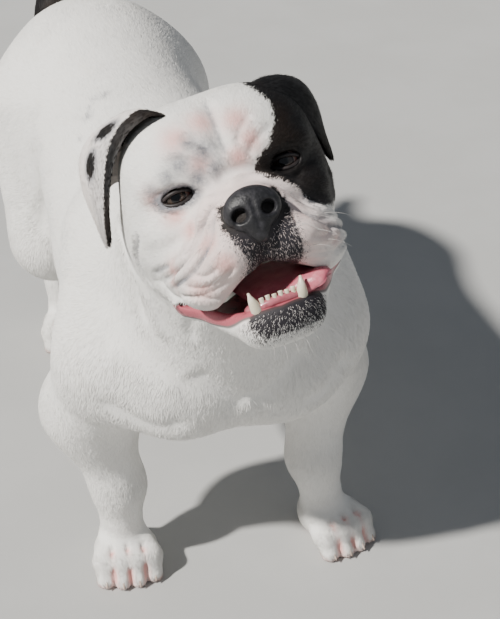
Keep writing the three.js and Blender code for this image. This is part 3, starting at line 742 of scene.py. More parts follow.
def marks_of_ear(u, v, outer, side):
    """Markings of an ear, u from base to tip and v from its front edge back: black on the dog's left, and on
    its right white with black along the front edge."""
    none = np.zeros(len(u))
    marks = {"black": none + 12, "ticked": none, "grey": none, "pink": none, "mouth": none + OUTSIDE}
    if side > 0:
        return marks
    wide = np.interp(u, EAR_STEPS, EAR_WIDTHS)
    band = np.where(outer, np.interp(u, EAR_STEPS, BAND_OUTSIDE), np.interp(u, EAR_STEPS, BAND_INSIDE))
    black = band - v * wide
    grey = 0.4 * ramp(v * wide, 34, 12) * ramp(u, 0.2, 0.4)
    for at_u, at_v, long, broad in EAR_BLOTCHES:
        away = np.hypot((u - at_u) * EAR_LENGTH / long, (v - at_v) * wide / broad)
        grey = np.maximum(grey, np.where(outer, 1.15 * ramp(away, 1.5, 0.7), 0))
        black = np.maximum(black, np.where(outer, (0.8 - away) * 0.5 * (long + broad), OUTSIDE))
    return marks | {"black": black, "grey": grey, "pink": none + 0.12}


# -------- meshes


def mesh_piece(name, points, faces, nodes, material):
    """A piece from points in the design frame and faces of three or four corners."""
    faces = np.asarray(faces)
    size = faces.shape[1]
    mesh = bpy.data.meshes.new(name)
    mesh.vertices.add(len(points))
    mesh.vertices.foreach_set("co", to_row(points).astype(np.float32).ravel())
    mesh.loops.add(faces.size)
    mesh.loops.foreach_set("vertex_index", faces.astype(np.int32).ravel())
    mesh.polygons.add(len(faces))
    mesh.polygons.foreach_set("loop_start", np.arange(0, faces.size, size, dtype=np.int32))
    mesh.polygons.foreach_set("use_smooth", np.full(len(faces), True))
    mesh.update(calc_edges=True)
    mesh.materials.append(material)
    piece = bpy.data.objects.new(name, mesh)
    bpy.context.scene.collection.objects.link(piece)
    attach(piece, "root")
    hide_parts(*nodes)
    return piece


def shade_as(piece, normals):
    """Shades a piece as if its points lay on a surface with these normals."""
    piece.data.normals_split_custom_set_from_vertices(normals.astype(np.float32))


def give(piece, values):
    """Stores one number a point under each name."""
    for name, numbers in values.items():
        layer = piece.data.attributes.new(name, "FLOAT", "POINT")
        layer.data.foreach_set("value", np.asarray(numbers, np.float32))


def ring_quads(stretches, sides):
    """Quads between rings of points that follow one another."""
    i, j = np.meshgrid(np.arange(stretches), np.arange(sides), indexing="ij")
    k = (j + 1) % sides
    quads = np.stack([i * sides + j, i * sides + k, (i + 1) * sides + k, (i + 1) * sides + j], -1)
    return quads.reshape(-1, 4)


def tube(path, radii, sides):
    """Points and quads of a tube along a path."""
    path, radii = np.asarray(path, float), np.asarray(radii, float)
    way = unit(np.gradient(path, axis=0))
    up = np.array([0.13, 0.29, 0.95])
    u = unit(np.cross(way, up))
    v = np.cross(way, u)
    angle = np.arange(sides) * 2 * math.pi / sides
    circle = u[:, None] * np.cos(angle)[:, None] + v[:, None] * np.sin(angle)[:, None]
    points = (path[:, None] + circle * radii[:, None, None]).reshape(-1, 3)
    return points, ring_quads(len(path) - 1, sides)


def join(parts):
    """Several (points, faces) as one."""
    points, faces, count = [], [], 0
    for p, f in parts:
        points.append(p)
        faces.append(np.asarray(f) + count)
        count += len(p)
    return np.concatenate(points), np.concatenate(faces)


def spline(points, count):
    """Smooth run of count places through the given ones, along the first axis."""
    points = np.asarray(points, float)
    first, last = 2 * points[0] - points[1], 2 * points[-1] - points[-2]
    p = np.concatenate([first[None], points, last[None]])
    t = np.linspace(0, len(points) - 1 - 1e-6, count)
    i = t.astype(int)
    f = (t - i).reshape((-1,) + (1,) * (points.ndim - 1))
    a, b, c, d = p[i], p[i + 1], p[i + 2], p[i + 3]
    return 0.5 * (2 * b + (c - a) * f + (2 * a - 5 * b + 4 * c - d) * f**2 + (3 * b - a - 3 * c + d) * f**3)


def leaf(rows, thickness, down=48, across=36):
    """A closed slab along a smooth sheet through rows of places, rounded at its rim."""
    sheet = spline(rows, down)
    sheet = spline(sheet.transpose(1, 0, 2), across).transpose(1, 0, 2)
    way = unit(np.cross(np.gradient(sheet, axis=0), np.gradient(sheet, axis=1)))
    u = np.abs(np.linspace(-1, 1, across))[None]
    v = np.clip(np.linspace(-1, 1, down), 0, 1)[:, None]
    half = thickness / 2 * np.sqrt(np.clip(1 - np.maximum(u, v) ** 8, 0, 1))
    front, back = sheet + way * half[..., None], sheet - way * half[..., None]
    points = np.concatenate([front.reshape(-1, 3), back.reshape(-1, 3)])
    i, j = np.meshgrid(np.arange(down - 1), np.arange(across - 1), indexing="ij")
    a, side = i * across + j, down * across
    top = np.stack([a, a + across, a + across + 1, a + 1], -1).reshape(-1, 4)
    under = top[:, ::-1] + side
    ring = list(range(across - 1)) + [k * across + across - 1 for k in range(down - 1)]
    ring += [(down - 1) * across + k for k in range(across - 1, 0, -1)]
    ring += [k * across for k in range(down - 1, 0, -1)]
    ring, after = np.array(ring), np.roll(ring, -1)
    rim = np.stack([ring, after, after + side, ring + side], -1)
    return points, np.concatenate([top, under, rim]), (sheet, way, half)


# -------- materials


def new_material(name):
    material = bpy.data.materials.new(name)
    material.use_nodes = True
    tree = material.node_tree
    tree.nodes.clear()
    shader = tree.nodes.new("ShaderNodeBsdfPrincipled")
    out = tree.nodes.new("ShaderNodeOutputMaterial")
    tree.links.new(shader.outputs["BSDF"], out.inputs["Surface"])
    return material, tree, shader


def feed(tree, node, values):
    """Sets a node's inputs, each from a number, a colour or another node's output."""
    for name, value in values.items():
        if isinstance(value, (int, float, tuple)):
            node.inputs[name].default_value = value
        else:
            tree.links.new(value, node.inputs[name])
    return node


def attribute(tree, name):
    node = tree.nodes.new("ShaderNodeAttribute")
    node.attribute_name = name
    return node.outputs["Fac"]


def maths(tree, operation, *values):
    node = tree.nodes.new("ShaderNodeMath")
    node.operation = operation
    return feed(tree, node, dict(enumerate(values))).outputs[0]


def smooth_range(tree, value, start, end):
    node = tree.nodes.new("ShaderNodeMapRange")
    node.interpolation_type = "SMOOTHSTEP"
    return feed(tree, node, {"Value": value, "From Min": start, "From Max": end}).outputs["Result"]


def object_place(tree):
    return tree.nodes.new("ShaderNodeTexCoord").outputs["Object"]


def noise_node(tree, scale, detail=3.0):
    node = tree.nodes.new("ShaderNodeTexNoise")
    inputs = {"Vector": object_place(tree), "Scale": scale, "Detail": detail, "Roughness": 0.6}
    return feed(tree, node, inputs).outputs["Fac"]


def mixed(tree, factor, a, b):
    node = tree.nodes.new("ShaderNodeMix")
    node.data_type = "RGBA"
    a, b = ((*value, 1) if isinstance(value, tuple) else value for value in (a, b))
    return feed(tree, node, {0: factor, 6: a, 7: b}).outputs[2]


def bump(tree, height, strength, distance):
    node = tree.nodes.new("ShaderNodeBump")
    return feed(tree, node, {"Strength": strength, "Distance": distance, "Height": height}).outputs["Normal"]


def coat_colour(tree, under):
    """The markings, with the painted shade of deep folds and round the eyes, the same for skin and tufts.
    under is how much of the pink skin shows through.
    """
    fine, broad = noise_node(tree, 420), noise_node(tree, 16, 4)
    white = mixed(tree, smooth_range(tree, broad, 0.48, 0.78), WHITE, CREAM)
    pale = mixed(tree, maths(tree, "MULTIPLY", smooth_range(tree, broad, 0.55, 0.9), 0.35), WHITE, white)
    # grey holds grey spots of the skin and also painted shade in deep folds and round the eyes
    grey = maths(tree, "MULTIPLY", attribute(tree, "grey"), maths(tree, "ADD", fine, 0.35))
    pink = maths(tree, "MULTIPLY", attribute(tree, "pink"), under)
    colour = mixed(tree, pink, pale, PINK)
    colour = mixed(tree, grey, colour, GREY)
    jagged = maths(tree, "MULTIPLY", maths(tree, "SUBTRACT", fine, 0.5), 6.0)
    edge = maths(tree, "ADD", attribute(tree, "black"), jagged)
    dark = mixed(tree, smooth_range(tree, broad, 0.4, 0.7), BLACK, BROWN_BLACK)
    dark = mixed(tree, maths(tree, "MULTIPLY", attribute(tree, "ticked"), 0.8), dark, SOFT_BLACK)
    return mixed(tree, smooth_range(tree, edge, -0.9, 0.9), colour, dark)


def skin_material():
    material, tree, shader = new_material("coat_skin")
    mouth = attribute(tree, "mouth")
    inner = smooth_range(tree, mouth, -1.2, 0.3)
    blotch = smooth_range(tree, noise_node(tree, 120), 0.56, 0.66)
    lip = maths(tree, "MULTIPLY", smooth_range(tree, mouth, -3.4, -1.4), 0.85)
    outer = mixed(tree, lip, coat_colour(tree, 0.95), LIP_DARK)
    rough = feed(tree, tree.nodes.new("ShaderNodeMapRange"), {"Value": inner, "To Min": 0.62, "To Max": 0.28})
    feed(tree, shader, {
        "Base Color": mixed(tree, inner, outer, mixed(tree, blotch, MOUTH_PINK, MOUTH_DARK)),
        "Roughness": rough.outputs["Result"],
        "Specular IOR Level": 0.35,
        "Normal": bump(tree, noise_node(tree, 700), 0.35, 0.0009),
    })
    return material


def fur_material():
    material, tree, shader = new_material("coat_fur")
    light = maths(tree, "MULTIPLY_ADD", attribute(tree, "tint"), 0.10, 0.95)
    shade = tree.nodes.new("ShaderNodeHueSaturation")
    feed(tree, shade, {"Value": light, "Color": coat_colour(tree, 0.78)})
    feed(tree, shader, {"Base Color": shade.outputs["Color"], "Roughness": 0.6, "Specular IOR Level": 0.22})
    return material


def plain_material(name, colour, other, scale, rough, height=0.0, coat=0.0, under=0.0):
    """A material whose colour wanders between two by noise, with bumps of a height, a wet coat over it and
    light let in under it."""
    material, tree, shader = new_material(name)
    wander = smooth_range(tree, noise_node(tree, scale, 4), 0.4, 0.65)
    feed(tree, shader, {
        "Base Color": mixed(tree, wander, colour, other),
        "Roughness": rough,
        "Coat Weight": coat,
        "Coat Roughness": 0.08,
        "Subsurface Weight": under,
        "Subsurface Radius": (0.004, 0.0016, 0.001),
    })
    if height:
        feed(tree, shader, {"Normal": bump(tree, noise_node(tree, scale * 4), 0.5, height)})
    return material


def nose_material():
    material, tree, shader = new_material("nose_pad")
    cells = feed(tree, tree.nodes.new("ShaderNodeTexVoronoi"), {"Scale": 620, "Vector": object_place(tree)})
    wander = smooth_range(tree, noise_node(tree, 200), 0.4, 0.7)
    pebbles = maths(tree, "MULTIPLY", cells.outputs["Distance"], -1.0)
    feed(tree, shader, {
        "Base Color": mixed(tree, wander, (0.012, 0.012, 0.014), (0.030, 0.029, 0.034)),
        "Roughness": 0.5,
        "Specular IOR Level": 0.45,
        "Normal": bump(tree, pebbles, 0.3, 0.0006),
    })
    return material


# Degrees from the gaze at which the pupil ends, the iris darkens and ends, and the white reddens
PUPIL_END, IRIS_RIM, IRIS_END, WHITE_RIM = (16, 21), (32, 39), (40, 43), (44, 62)


def eye_material():
    """White, iris and pupil by the attribute turn: how far round the ball a point lies from the gaze."""
    material, tree, shader = new_material("eyeball")
    turn = attribute(tree, "turn")
    streak = smooth_range(tree, noise_node(tree, 900, 2), 0.35, 0.7)
    iris = mixed(tree, streak, (0.020, 0.012, 0.008), (0.048, 0.029, 0.018))
    iris = mixed(tree, smooth_range(tree, turn, *IRIS_RIM), iris, (0.006, 0.004, 0.003))
    white = mixed(tree, smooth_range(tree, turn, *WHITE_RIM), (0.20, 0.14, 0.12), (0.30, 0.12, 0.10))
    colour = mixed(tree, smooth_range(tree, turn, *PUPIL_END), (0.001, 0.001, 0.0015), iris)
    feed(tree, shader, {
        "Base Color": mixed(tree, smooth_range(tree, turn, *IRIS_END), colour, white),
        "Roughness": 0.2,
        "Specular IOR Level": 0.15,
        "Coat Weight": 0.9,
        "Coat Roughness": 0.04,
    })
    return material


SKIN = skin_material()
FUR = fur_material()
NOSE_PAD = nose_material()
EYE = eye_material()
TONGUE = plain_material("tongue", (0.50, 0.115, 0.16), (0.60, 0.19, 0.23), 90, 0.36, 0.0006, 0.25, 0.1)
GUM = plain_material("gum", (0.46, 0.13, 0.16), (0.34, 0.09, 0.11), 200, 0.3, 0.0, 0.25)
LID = plain_material("lid_rim", (0.012, 0.009, 0.009), (0.03, 0.022, 0.022), 300, 0.55)
TOOTH = plain_material("tooth", (0.70, 0.62, 0.46), (0.78, 0.72, 0.60), 150, 0.22, 0.0, 0.3)
CLAW = plain_material("claw", (0.62, 0.50, 0.42), (0.45, 0.33, 0.27), 120, 0.38)
WHISKER = plain_material("whisker", (0.6, 0.58, 0.55), (0.5, 0.48, 0.45), 200, 0.4)

FLESH_NODES = ["head", "jaw", "neck", "torso", "tail"]
FLESH_NODES += [f"leg_{name}" for name in LEGS] + [f"paw_{name}" for name in LEGS]

# -------- the skin

CREASES = crease_lines()


def make_skin():
    axes = [
        grid_axis(-180, 174, -132, 92, BODY_STEP, HEAD_STEP),
        grid_axis(-306, 530, -300, -84, BODY_STEP, HEAD_STEP),
        grid_axis(-9, 572, 388, 566, BODY_STEP, HEAD_STEP),
    ]
    points, quads = surface(axes, sample(axes, skin_field))
    points = settle(skin_field, points, 0.8)
    points[:, 2] = np.maximum(points[:, 2], SOLE)
    piece = mesh_piece("skin", points, quads, FLESH_NODES, SKIN)
    give(piece, marks_of_skin(points))
    return points, quads


# -------- head parts

EAR_THICKNESS = 4.4
EAR_ROWS = [
    [[20, 22, 57], [34, 44, 58], [50, 60, 50], [56, 76, 36], [56, 84, 18]],
    [[36, 11, 68], [51, 35, 75], [68, 60, 68], [76, 82, 50], [72, 92, 28]],
    [[59, 18, 61], [76, 43, 66], [90, 70, 60], [92, 88, 42], [85, 95, 22]],
    [[76, 32, 42], [90, 51, 46], [98, 73, 38], [98, 86, 26], [91, 90, 10]],
    [[88, 47, 14], [94, 59, 14], [97, 71, 8], [98, 79, 2], [93, 80, -5]],
    [[95, 64, -13], [96, 66, -13], [97, 68, -13.5], [97.5, 70, -14], [97, 72, -15]],
]
EAR_CREST = 60  # height of the fold that an ear hangs from
# Side, how far out and up, how far it hangs, and how far its front edge droops
EAR_SET = {"right": (-1, 1, -2, 1, 0), "left": (1, -8, -4, 0.86, 9)}
FRONT_DROOP = [1, 1, 0.5, 0.6, 0.5, 0]  # share of the droop that the front edge of each row takes
TONGUE_ROWS = [
    [[-24, 40, -74], [-10, 40, -70], [4, 40, -69], [18, 40, -70], [30, 40, -75]],
    [[-22, 15, -79], [-8, 13, -75], [8, 12, -73], [24, 12, -74], [36, 14, -79]],
    [[-18, -8, -84], [-4, -12, -81], [12, -14, -79], [28, -12, -78], [41, -6, -80]],
    [[-8, -21, -88], [4, -24, -86], [18, -26, -83], [30, -25, -79], [41, -19, -80]],
    [[10, -26, -87], [18, -28, -85], [27, -31, -82], [36, -30, -79], [43, -24, -80]],
    [[26, -31, -88], [31, -35, -88], [36, -36, -86], [40, -33, -83], [44, -27, -83]],
]


def make_ear(name):
    side, out, up, hang, droop = EAR_SET[name]
    rows = np.array(EAR_ROWS, float)
    rows[..., 0] = side * (rows[..., 0] + out)
    rows[..., 2] = EAR_CREST + (rows[..., 2] - EAR_CREST) * hang + up
    rows[..., 2] -= droop * np.outer(FRONT_DROOP, [1, 0.5, 0, 0, 0])
    points, faces, (sheet, way, half) = leaf(rows, EAR_THICKNESS)
    down, across = half.shape
    u, v = np.meshgrid(np.linspace(0, 1, down), np.linspace(0, 1, across), indexing="ij")
    u, v = np.tile(u.ravel(), 2), np.tile(v.ravel(), 2)
    outer = np.repeat([True, False], down * across) == (side > 0)
    piece = mesh_piece(f"ear_skin_{name}", from_head(points), faces, [f"ear_{name}"], SKIN)
    give(piece, marks_of_ear(u, v, outer, side))
    return side, sheet, way, half


def make_tongue():
    points, faces, _ = leaf(TONGUE_ROWS, 7.4, 60, 40)
    dip = np.exp(-(((points[:, 0] - 10) / 5) ** 2)) * ramp(points[:, 1], -40, 0)
    points[:, 2] -= 1.2 * dip
    mesh_piece("tongue_flesh", from_head(points), faces, ["tongue"], TONGUE)


def nose_field(q):
    value = blend([(0, ellipsoid(NOSE, [21.5, 12, 17])), (5, ellipsoid([0, -54, -29], [9, 8, 14]))], q)
    for s in SIDES:
        turn = spin("y", s * 25)
        value = carve(value, ellipsoid([s * 11, -62, -20], [6, 11, 5.4], turn)[2](q), 2.5)
        near, _ = along([[s * 13, -61, -22], [s * 17, -58, -27], [s * 21, -51, -29]], q)
        value = carve(value, near - 1.7, 1.6)
    near, _ = along([[0, -63, -12], [0, -64, -24], [0, -62, -42]], q)
    value += 2.2 * np.exp(-((near / 1.5) ** 2))
    return value + 0.15


def make_nose():
    axes = [grid_axis(a, b, a, b, 0.8, 0.8) for a, b in ((-26, 26), (-74, -34), (-48, 2))]
    points, quads = surface(axes, sample(axes, nose_field))
    points = settle(nose_field, points, 0.3)
    mesh_piece("nose_leather", from_head(points), quads, ["nose"], NOSE_PAD)


EYE_RINGS, EYE_SPOKES = 56, 64
LID_POINTS, LID_WIDTH = 73, 1.45


def make_eye(side):
    name = SIDE_NAMES[side]
    centre = np.array([side * EYE_SPREAD, EYE_DEPTH, EYE_HEIGHT])
    gaze = unit(unit(to_head(CAMERA_AT) - centre) + [side * 0.04, 0, -0.04])
    turn = np.linspace(0, math.pi, EYE_RINGS + 1)
    about = np.arange(EYE_SPOKES) * 2 * math.pi / EYE_SPOKES
    u = unit(np.cross(gaze, [0, 0, 1.0]))
    v = np.cross(u, gaze)
    swell = EYE_RADIUS - 0.45 + 0.45 * np.exp(-((np.degrees(turn) / 27) ** 4))
    circle = u[None] * np.cos(about)[:, None] + v[None] * np.sin(about)[:, None]
    points = gaze * np.cos(turn)[:, None, None] + circle[None] * np.sin(turn)[:, None, None]
    points = from_head((points * swell[:, None, None]).reshape(-1, 3) + centre)
    quads = ring_quads(EYE_RINGS, EYE_SPOKES)
    piece = mesh_piece(f"eyeball_{name}", points, quads, [f"eye_{name}"], EYE)
    give(piece, {"turn": np.repeat(np.degrees(turn), EYE_SPOKES)})


def lid_line(side):
    """The edge of the lids round an eye, pointed at both corners."""
    t = np.linspace(0, 2 * math.pi, LID_POINTS)
    x = 11.6 * np.cos(t)
    z = np.where(np.sin(t) > 0, 4.4, 5.0) * np.sin(t) * np.abs(np.sin(t)) ** 0.2
    z -= side * x * 0.05 + 0.3
    y = -np.sqrt(np.maximum((EYE_RADIUS + 0.8) ** 2 - x**2 - z**2, 1.0))
    return np.stack([x, y, z], -1) + [side * EYE_SPREAD, EYE_DEPTH, EYE_HEIGHT]


def make_lids():
    for side, name in SIDE_NAMES.items():
        points, quads = tube(lid_line(side), np.full(LID_POINTS, LID_WIDTH), 12)
        mesh_piece(f"lid_rim_{name}", from_head(points), quads, ["head"], LID)


def horn(start, end, width, curve, steps=8, sides=10, tip=0.12):
    """A tapering horn from start to end, bowed by curve."""
    start, end, curve = np.array(start, float), np.array(end, float), np.array(curve, float)
    t = np.linspace(0, 1, steps)
    path = start + (end - start) * t[:, None] + curve * (4 * t * (1 - t))[:, None]
    radii = width / 2 * np.maximum(tip, (1 - t**1.6)) ** 0.8
    path = np.concatenate([path, path[-1:] + (path[-1] - path[-2]) * 0.08])
    radii = np.append(radii, 0.02)
    return tube(path, radii, sides)


INCISORS, INCISOR_SPACING = 6, 4.6
GUM_PATH = [
    [-24, -20, -89], [-17, -32, -88.5], [-9, -36, -87.5], [0, -37, -87], [9, -36, -87.5], [17, -32, -88],
    [24, -20, -88],
]


def make_teeth():
    parts = []
    for s in SIDES:
        parts.append(horn([s * 16.5, -33, -91.5], [s * 20, -37, -75.5], 10.0, [s * 0.4, -1.6, 0]))
    for i in range(INCISORS):
        x = (i - (INCISORS - 1) / 2) * INCISOR_SPACING
        y = -37 + abs(x) * 0.15
        height = 6.4 + 0.6 * (i % 2)
        parts.append(horn([x, y, -90], [x * 1.06, y - 1.5, -88 + height], 5.4, [0, -0.4, 0], 10, 12, 0.62))
    points, quads = join(parts)
    mesh_piece("lower_teeth", from_head(points), quads, ["jaw"], TOOTH)
    path = spline(GUM_PATH, 41)
    points, quads = tube(path, 3.7 * np.minimum(1, 0.2 + 4 * np.sin(np.linspace(0, math.pi, 41))), 12)
    mesh_piece("lower_gum", from_head(points), quads, ["jaw"], GUM)


def make_claws():
    for name, leg in LEGS.items():
        parts = []
        for across, reach in toes():
            x = across * paw_width(name) * 0.275
            start = paw_place(leg, x, -27 - 11 * reach, 12)
            end = paw_place(leg, x * 1.02, -40 - 11 * reach, 5)
            parts.append(horn(start, end, 6.4, [0, 0, 1.8]))
        points, quads = join(parts)
        mesh_piece(f"claws_{name}", points, quads, [f"paw_{name}"], CLAW)


WHISKER_ROOTS = [
    [30, -50, -40], [36, -44, -46], [40, -38, -36], [42, -34, -54], [34, -46, -56], [46, -26, -44],
]


def whisker(root, way, long, fall):
    """One hair from near root, running along way and bent by fall at its end."""
    t = np.linspace(0, 1, 9)[:, None]
    path = settle_head([root])[0] + np.array(way) * t * long + np.array(fall) * t**2
    return tube(path, 0.17 * (1 - t[:, 0] * 0.85), 5)


def make_whiskers():
    parts = []
    for s in SIDES:
        for i, (x, y, z) in enumerate(WHISKER_ROOTS):
            way = [s * 0.75, -0.35, -0.35 + 0.06 * i]
            parts.append(whisker([s * x, y, z], way, 20 + 3 * (i % 3), [0, 4.0, -7.0]))
    for i in range(5):
        way = [0.1 * (i - 2), -0.25, -1.0]
        parts.append(whisker([-14 + 8 * i, -34, -118], way, 12 + 4 * (i % 2), [0, 3.0, 0]))
    points, quads = join(parts)
    mesh_piece("whiskers", from_head(points), quads, ["head"], WHISKER)


def settle_head(q):
    """Places in the head's frame moved onto the skin."""
    return to_head(settle(skin_field, from_head(q), 30, 5))


# -------- the coat

CHEST_LOCK = np.array([1.0, -136.0, 258.0])  # a tuft of longer hair in the middle of the chest
HAIR = {"body": 8.0, "leg": 6.8, "foot": 4.8, "head": 5.4, "face": 3.4, "muzzle": 2.5, "lock": 15.0}


def fur_length(p):
    """Length of the hair at places on the skin."""
    q = to_head(p)
    head = ramp(np.linalg.norm(q - HEAD_MIDDLE, axis=1), 130, 88)
    from_lip = np.linalg.norm((q - [2, -48, -60]) * [1, 0.7, 0.6], axis=1)
    shares = {
        "leg": ramp(p[:, 2], 235, 190),
        "foot": ramp(p[:, 2], 62, 42),
        "head": head,
        "face": ramp(q[:, 1], 20, -12) * head,
        "muzzle": ramp(from_lip, 44, 32),
        "lock": np.exp(-((np.linalg.norm(p - CHEST_LOCK, axis=1) / 6) ** 2)),
    }
    length = np.full(len(p), HAIR["body"])
    for part, share in shares.items():
        length = mix(length, HAIR[part], share)
    return length


def fur_share(p, normals, marks):
    """How much of the coat grows at places on the skin, 0 to 1."""
    q = to_head(p)
    share = ramp(marks["mouth"], -2.6, -4.5)
    share *= ramp(nose_field(q), 0.8, 2.6)
    share *= ramp(along(LIP_SLIT, q)[0], 2.6, 5.0)
    for s in SIDES:
        eye = (q - [s * EYE_SPREAD, 0, EYE_HEIGHT]) * [0.5, 0.3, 1.0]
        share *= ramp(np.linalg.norm(eye, axis=1), 6.6, 8.4)
    share *= 1 - ramp(-normals[:, 2], 0.5, 0.8) * ramp(p[:, 2], 12, 6)
    return share


def flat_on(ways, normals):
    """Ways turned to run along the skin."""
    return unit(ways - normals * (ways * normals).sum(1, keepdims=True))


def lie(p, normals):
    """Which way the hair lies: back and down on the body, down on the chest and legs, forwards on the feet,
    and away from the nose on the head."""
    q = to_head(p)
    y, z = p[:, 1:2], p[:, 2:3]
    way = np.array([0, 1.0, 0]) + np.array([0, 0, -0.75]) * (1 - np.abs(normals[:, 2:3]))
    chest = ramp(y, -20, -95) * ramp(z, 470, 380)
    way = mix(way, np.array([0, 0.1, -1.0]) + normals * [0.5, 0, 0], chest)
    front = ramp(z, 250, 200) * ramp(y, 160, 110)
    hind = ramp(z, 245, 190) * ramp(y, 215, 255)
    way = mix(way, np.array([0, 0.2, -1.0]), np.maximum(front, hind))
    way = mix(way, np.array([0, -1.0, -0.35]), ramp(z, 46, 30))
    way = mix(way, unit(np.array(TAIL[2]) - TAIL[1]), ramp(y, 440, 462))
    from_nose = unit(q - [0, -58, -20]) + [0, 0.35, 0]
    from_nose = from_nose + np.array([0, 0.25, -0.6]) * ramp(q[:, 2:3], -26, -48)
    head = ramp(np.linalg.norm(q - HEAD_MIDDLE, axis=1), 125, 90)[:, None]
    way = mix(unit(way), unit(from_nose) @ HEAD.T, head)
    way += 0.22 * np.stack([noise(p, 34, seed) for seed in (1, 2, 3)], -1)
    way += rng.normal(0, 0.14, way.shape)
    return flat_on(way, normals)


def tuft_mesh(tufts):
    """Points and triangles of tufts, thin pointed blades with a ridge: root, left, right, ridge, tip."""
    roots, normals, ways = tufts["root"], tufts["normal"], tufts["way"]
    long, lift = tufts["length"][:, None], tufts["lift"][:, None]
    side = np.cross(normals, ways)
    width = long * TUFT_SHAPE / 2
    sway = rng.normal(0, 0.07, (len(roots), 1)) * long
    root = roots - normals * 0.2
    middle = roots + ways * long * 0.4 + normals * lift * 0.5
    ridge = middle + normals * width * 0.22 + side * sway * 0.3
    tip = roots + ways * long + normals * lift + side * sway
    points = np.stack([root, middle - side * width, middle + side * width, ridge, tip], 1)
    corner = np.array([[0, 3, 2], [2, 3, 4], [4, 3, 1], [1, 3, 0]])
    faces = (np.arange(len(roots)) * TUFT_POINTS)[:, None, None] + corner[None]
    return points.reshape(-1, 3), faces.reshape(-1, 3)


# Cells of the coat's map, as (left, bottom, width, height) with an inner margin
MAP_CELLS = {
    "body": (0.0, 0.0, 1.0, 0.4),
    "head": (0.0, 0.4, 0.6, 0.6),
    "ear_left": (0.62, 0.82, 0.18, 0.18),
    "ear_right": (0.81, 0.82, 0.18, 0.18),
    "front_right": (0.61, 0.4, 0.19, 0.2),
    "front_left": (0.8, 0.4, 0.19, 0.2),
    "hind_right": (0.61, 0.61, 0.19, 0.2),
    "hind_left": (0.8, 0.61, 0.19, 0.2),
}


def place_in_map(cell, u, v):
    left, bottom, wide, high = MAP_CELLS[cell]
    margin = 2 * UV_PATCH
    u = left + margin + np.clip(u, 0, 1) * (wide - 2 * margin)
    v = bottom + margin + np.clip(v, 0, 1) * (high - 2 * margin)
    return np.stack([u, v], -1)


def round_axis(x, y):
    """How far round an axis a place lies, 0 to 1."""
    return np.arctan2(x, y) / (2 * math.pi) + 0.5


def unwrap_place(p, region):
    """Place of points of a region on the coat's map: the way round the region's axis, and along it."""
    x, y, z = p.T
    if region == "head":
        x, y, z = to_head(p).T
        return place_in_map(region, round_axis(x, z + 20), (y + 70) / 200)
    if region == "body":
        middle = mix(0.0, RUMP, ramp(y, 80, 340))
        return place_in_map(region, (y + 160) / 690, round_axis(x - middle, z - 310))
    paw_x, paw_y = LEGS[region]["paw"]
    return place_in_map(region, round_axis(x - paw_x, y - paw_y), z / 250)


def regions_of(p):
    """Which region of the dog each place belongs to."""
    x, y, z = p.T
    q = to_head(p)
    region = np.full(len(p), "body", dtype=object)
    from_middle = np.linalg.norm((q - HEAD_MIDDLE) * [1, 0.9, 1], axis=1)
    region[(from_middle < 118) & (q[:, 1] < 100)] = "head"
    low, front = z < 215, y < 150
    region[low & front & (x < 0)] = "front_right"
    region[low & front & (x >= 0)] = "front_left"
    region[low & ~front & (x < RUMP)] = "hind_right"
    region[low & ~front & (x >= RUMP)] = "hind_left"
    return region


REGION_NODES = {"body": ["torso", "neck", "tail"], "head": ["head", "jaw"]}
REGION_NODES.update({f"ear_{name}": [f"ear_{name}"] for name in ("left", "right")})
REGION_NODES.update({name: [f"leg_{name}", f"paw_{name}"] for name in LEGS})


def take(values, index):
    return {name: value[index] for name, value in values.items()}


def coat_pieces(region, tufts, marks):
    """The tufts of one region, in pieces small enough to handle."""
    order = np.argsort(tufts["root"][:, 1], kind="stable")
    corner = np.array([[-1, -1], [-0.5, 0], [0.5, 0], [0, 0.2], [0, 1]]) * UV_PATCH / 2
    pieces = math.ceil(len(order) / PIECE_TUFTS)
    for n, part in enumerate(np.array_split(order, pieces)):
        some = take(tufts, part)
        points, faces = tuft_mesh(some)
        points[:, 2] = np.maximum(points[:, 2], TUFT_FLOOR)
        name = f"coat_{region}_{n + 1}"
        piece = mesh_piece(name, points, faces, REGION_NODES[region], FUR)
        each = np.repeat(np.arange(len(part)), TUFT_POINTS)
        shade_as(piece, unit(some["normal"] + rng.normal(0, 0.1, (len(part), 3)))[each])
        give(piece, take({**take(marks, part), "tint": rng.random(len(part))}, each))
        layer = piece.data.uv_layers.new(name="OFBake")
        uv = (some["place"][:, None] + corner[None]).reshape(-1, 2)
        layer.data.foreach_set("uv", uv[faces.ravel()].astype(np.float32).ravel())


def ticked_black(black, ticked):
    """The black of each tuft: where it is ticked, some stay white and black ones stray past its edge."""
    stray = black + rng.normal(0, 1, len(black)) * mix(0.8, 3.6, ticked)
    return np.where(rng.random(len(black)) < 0.13 * ticked, OUTSIDE, stray)


def normals_of_points(count, triangles, cross):
    """The mean direction of the triangles at each point."""
    total = np.zeros((count, 3))
    for k in range(3):
        for axis in range(3):
            total[:, axis] += np.bincount(triangles[:, k], weights=cross[:, axis], minlength=count)
    return unit(total)


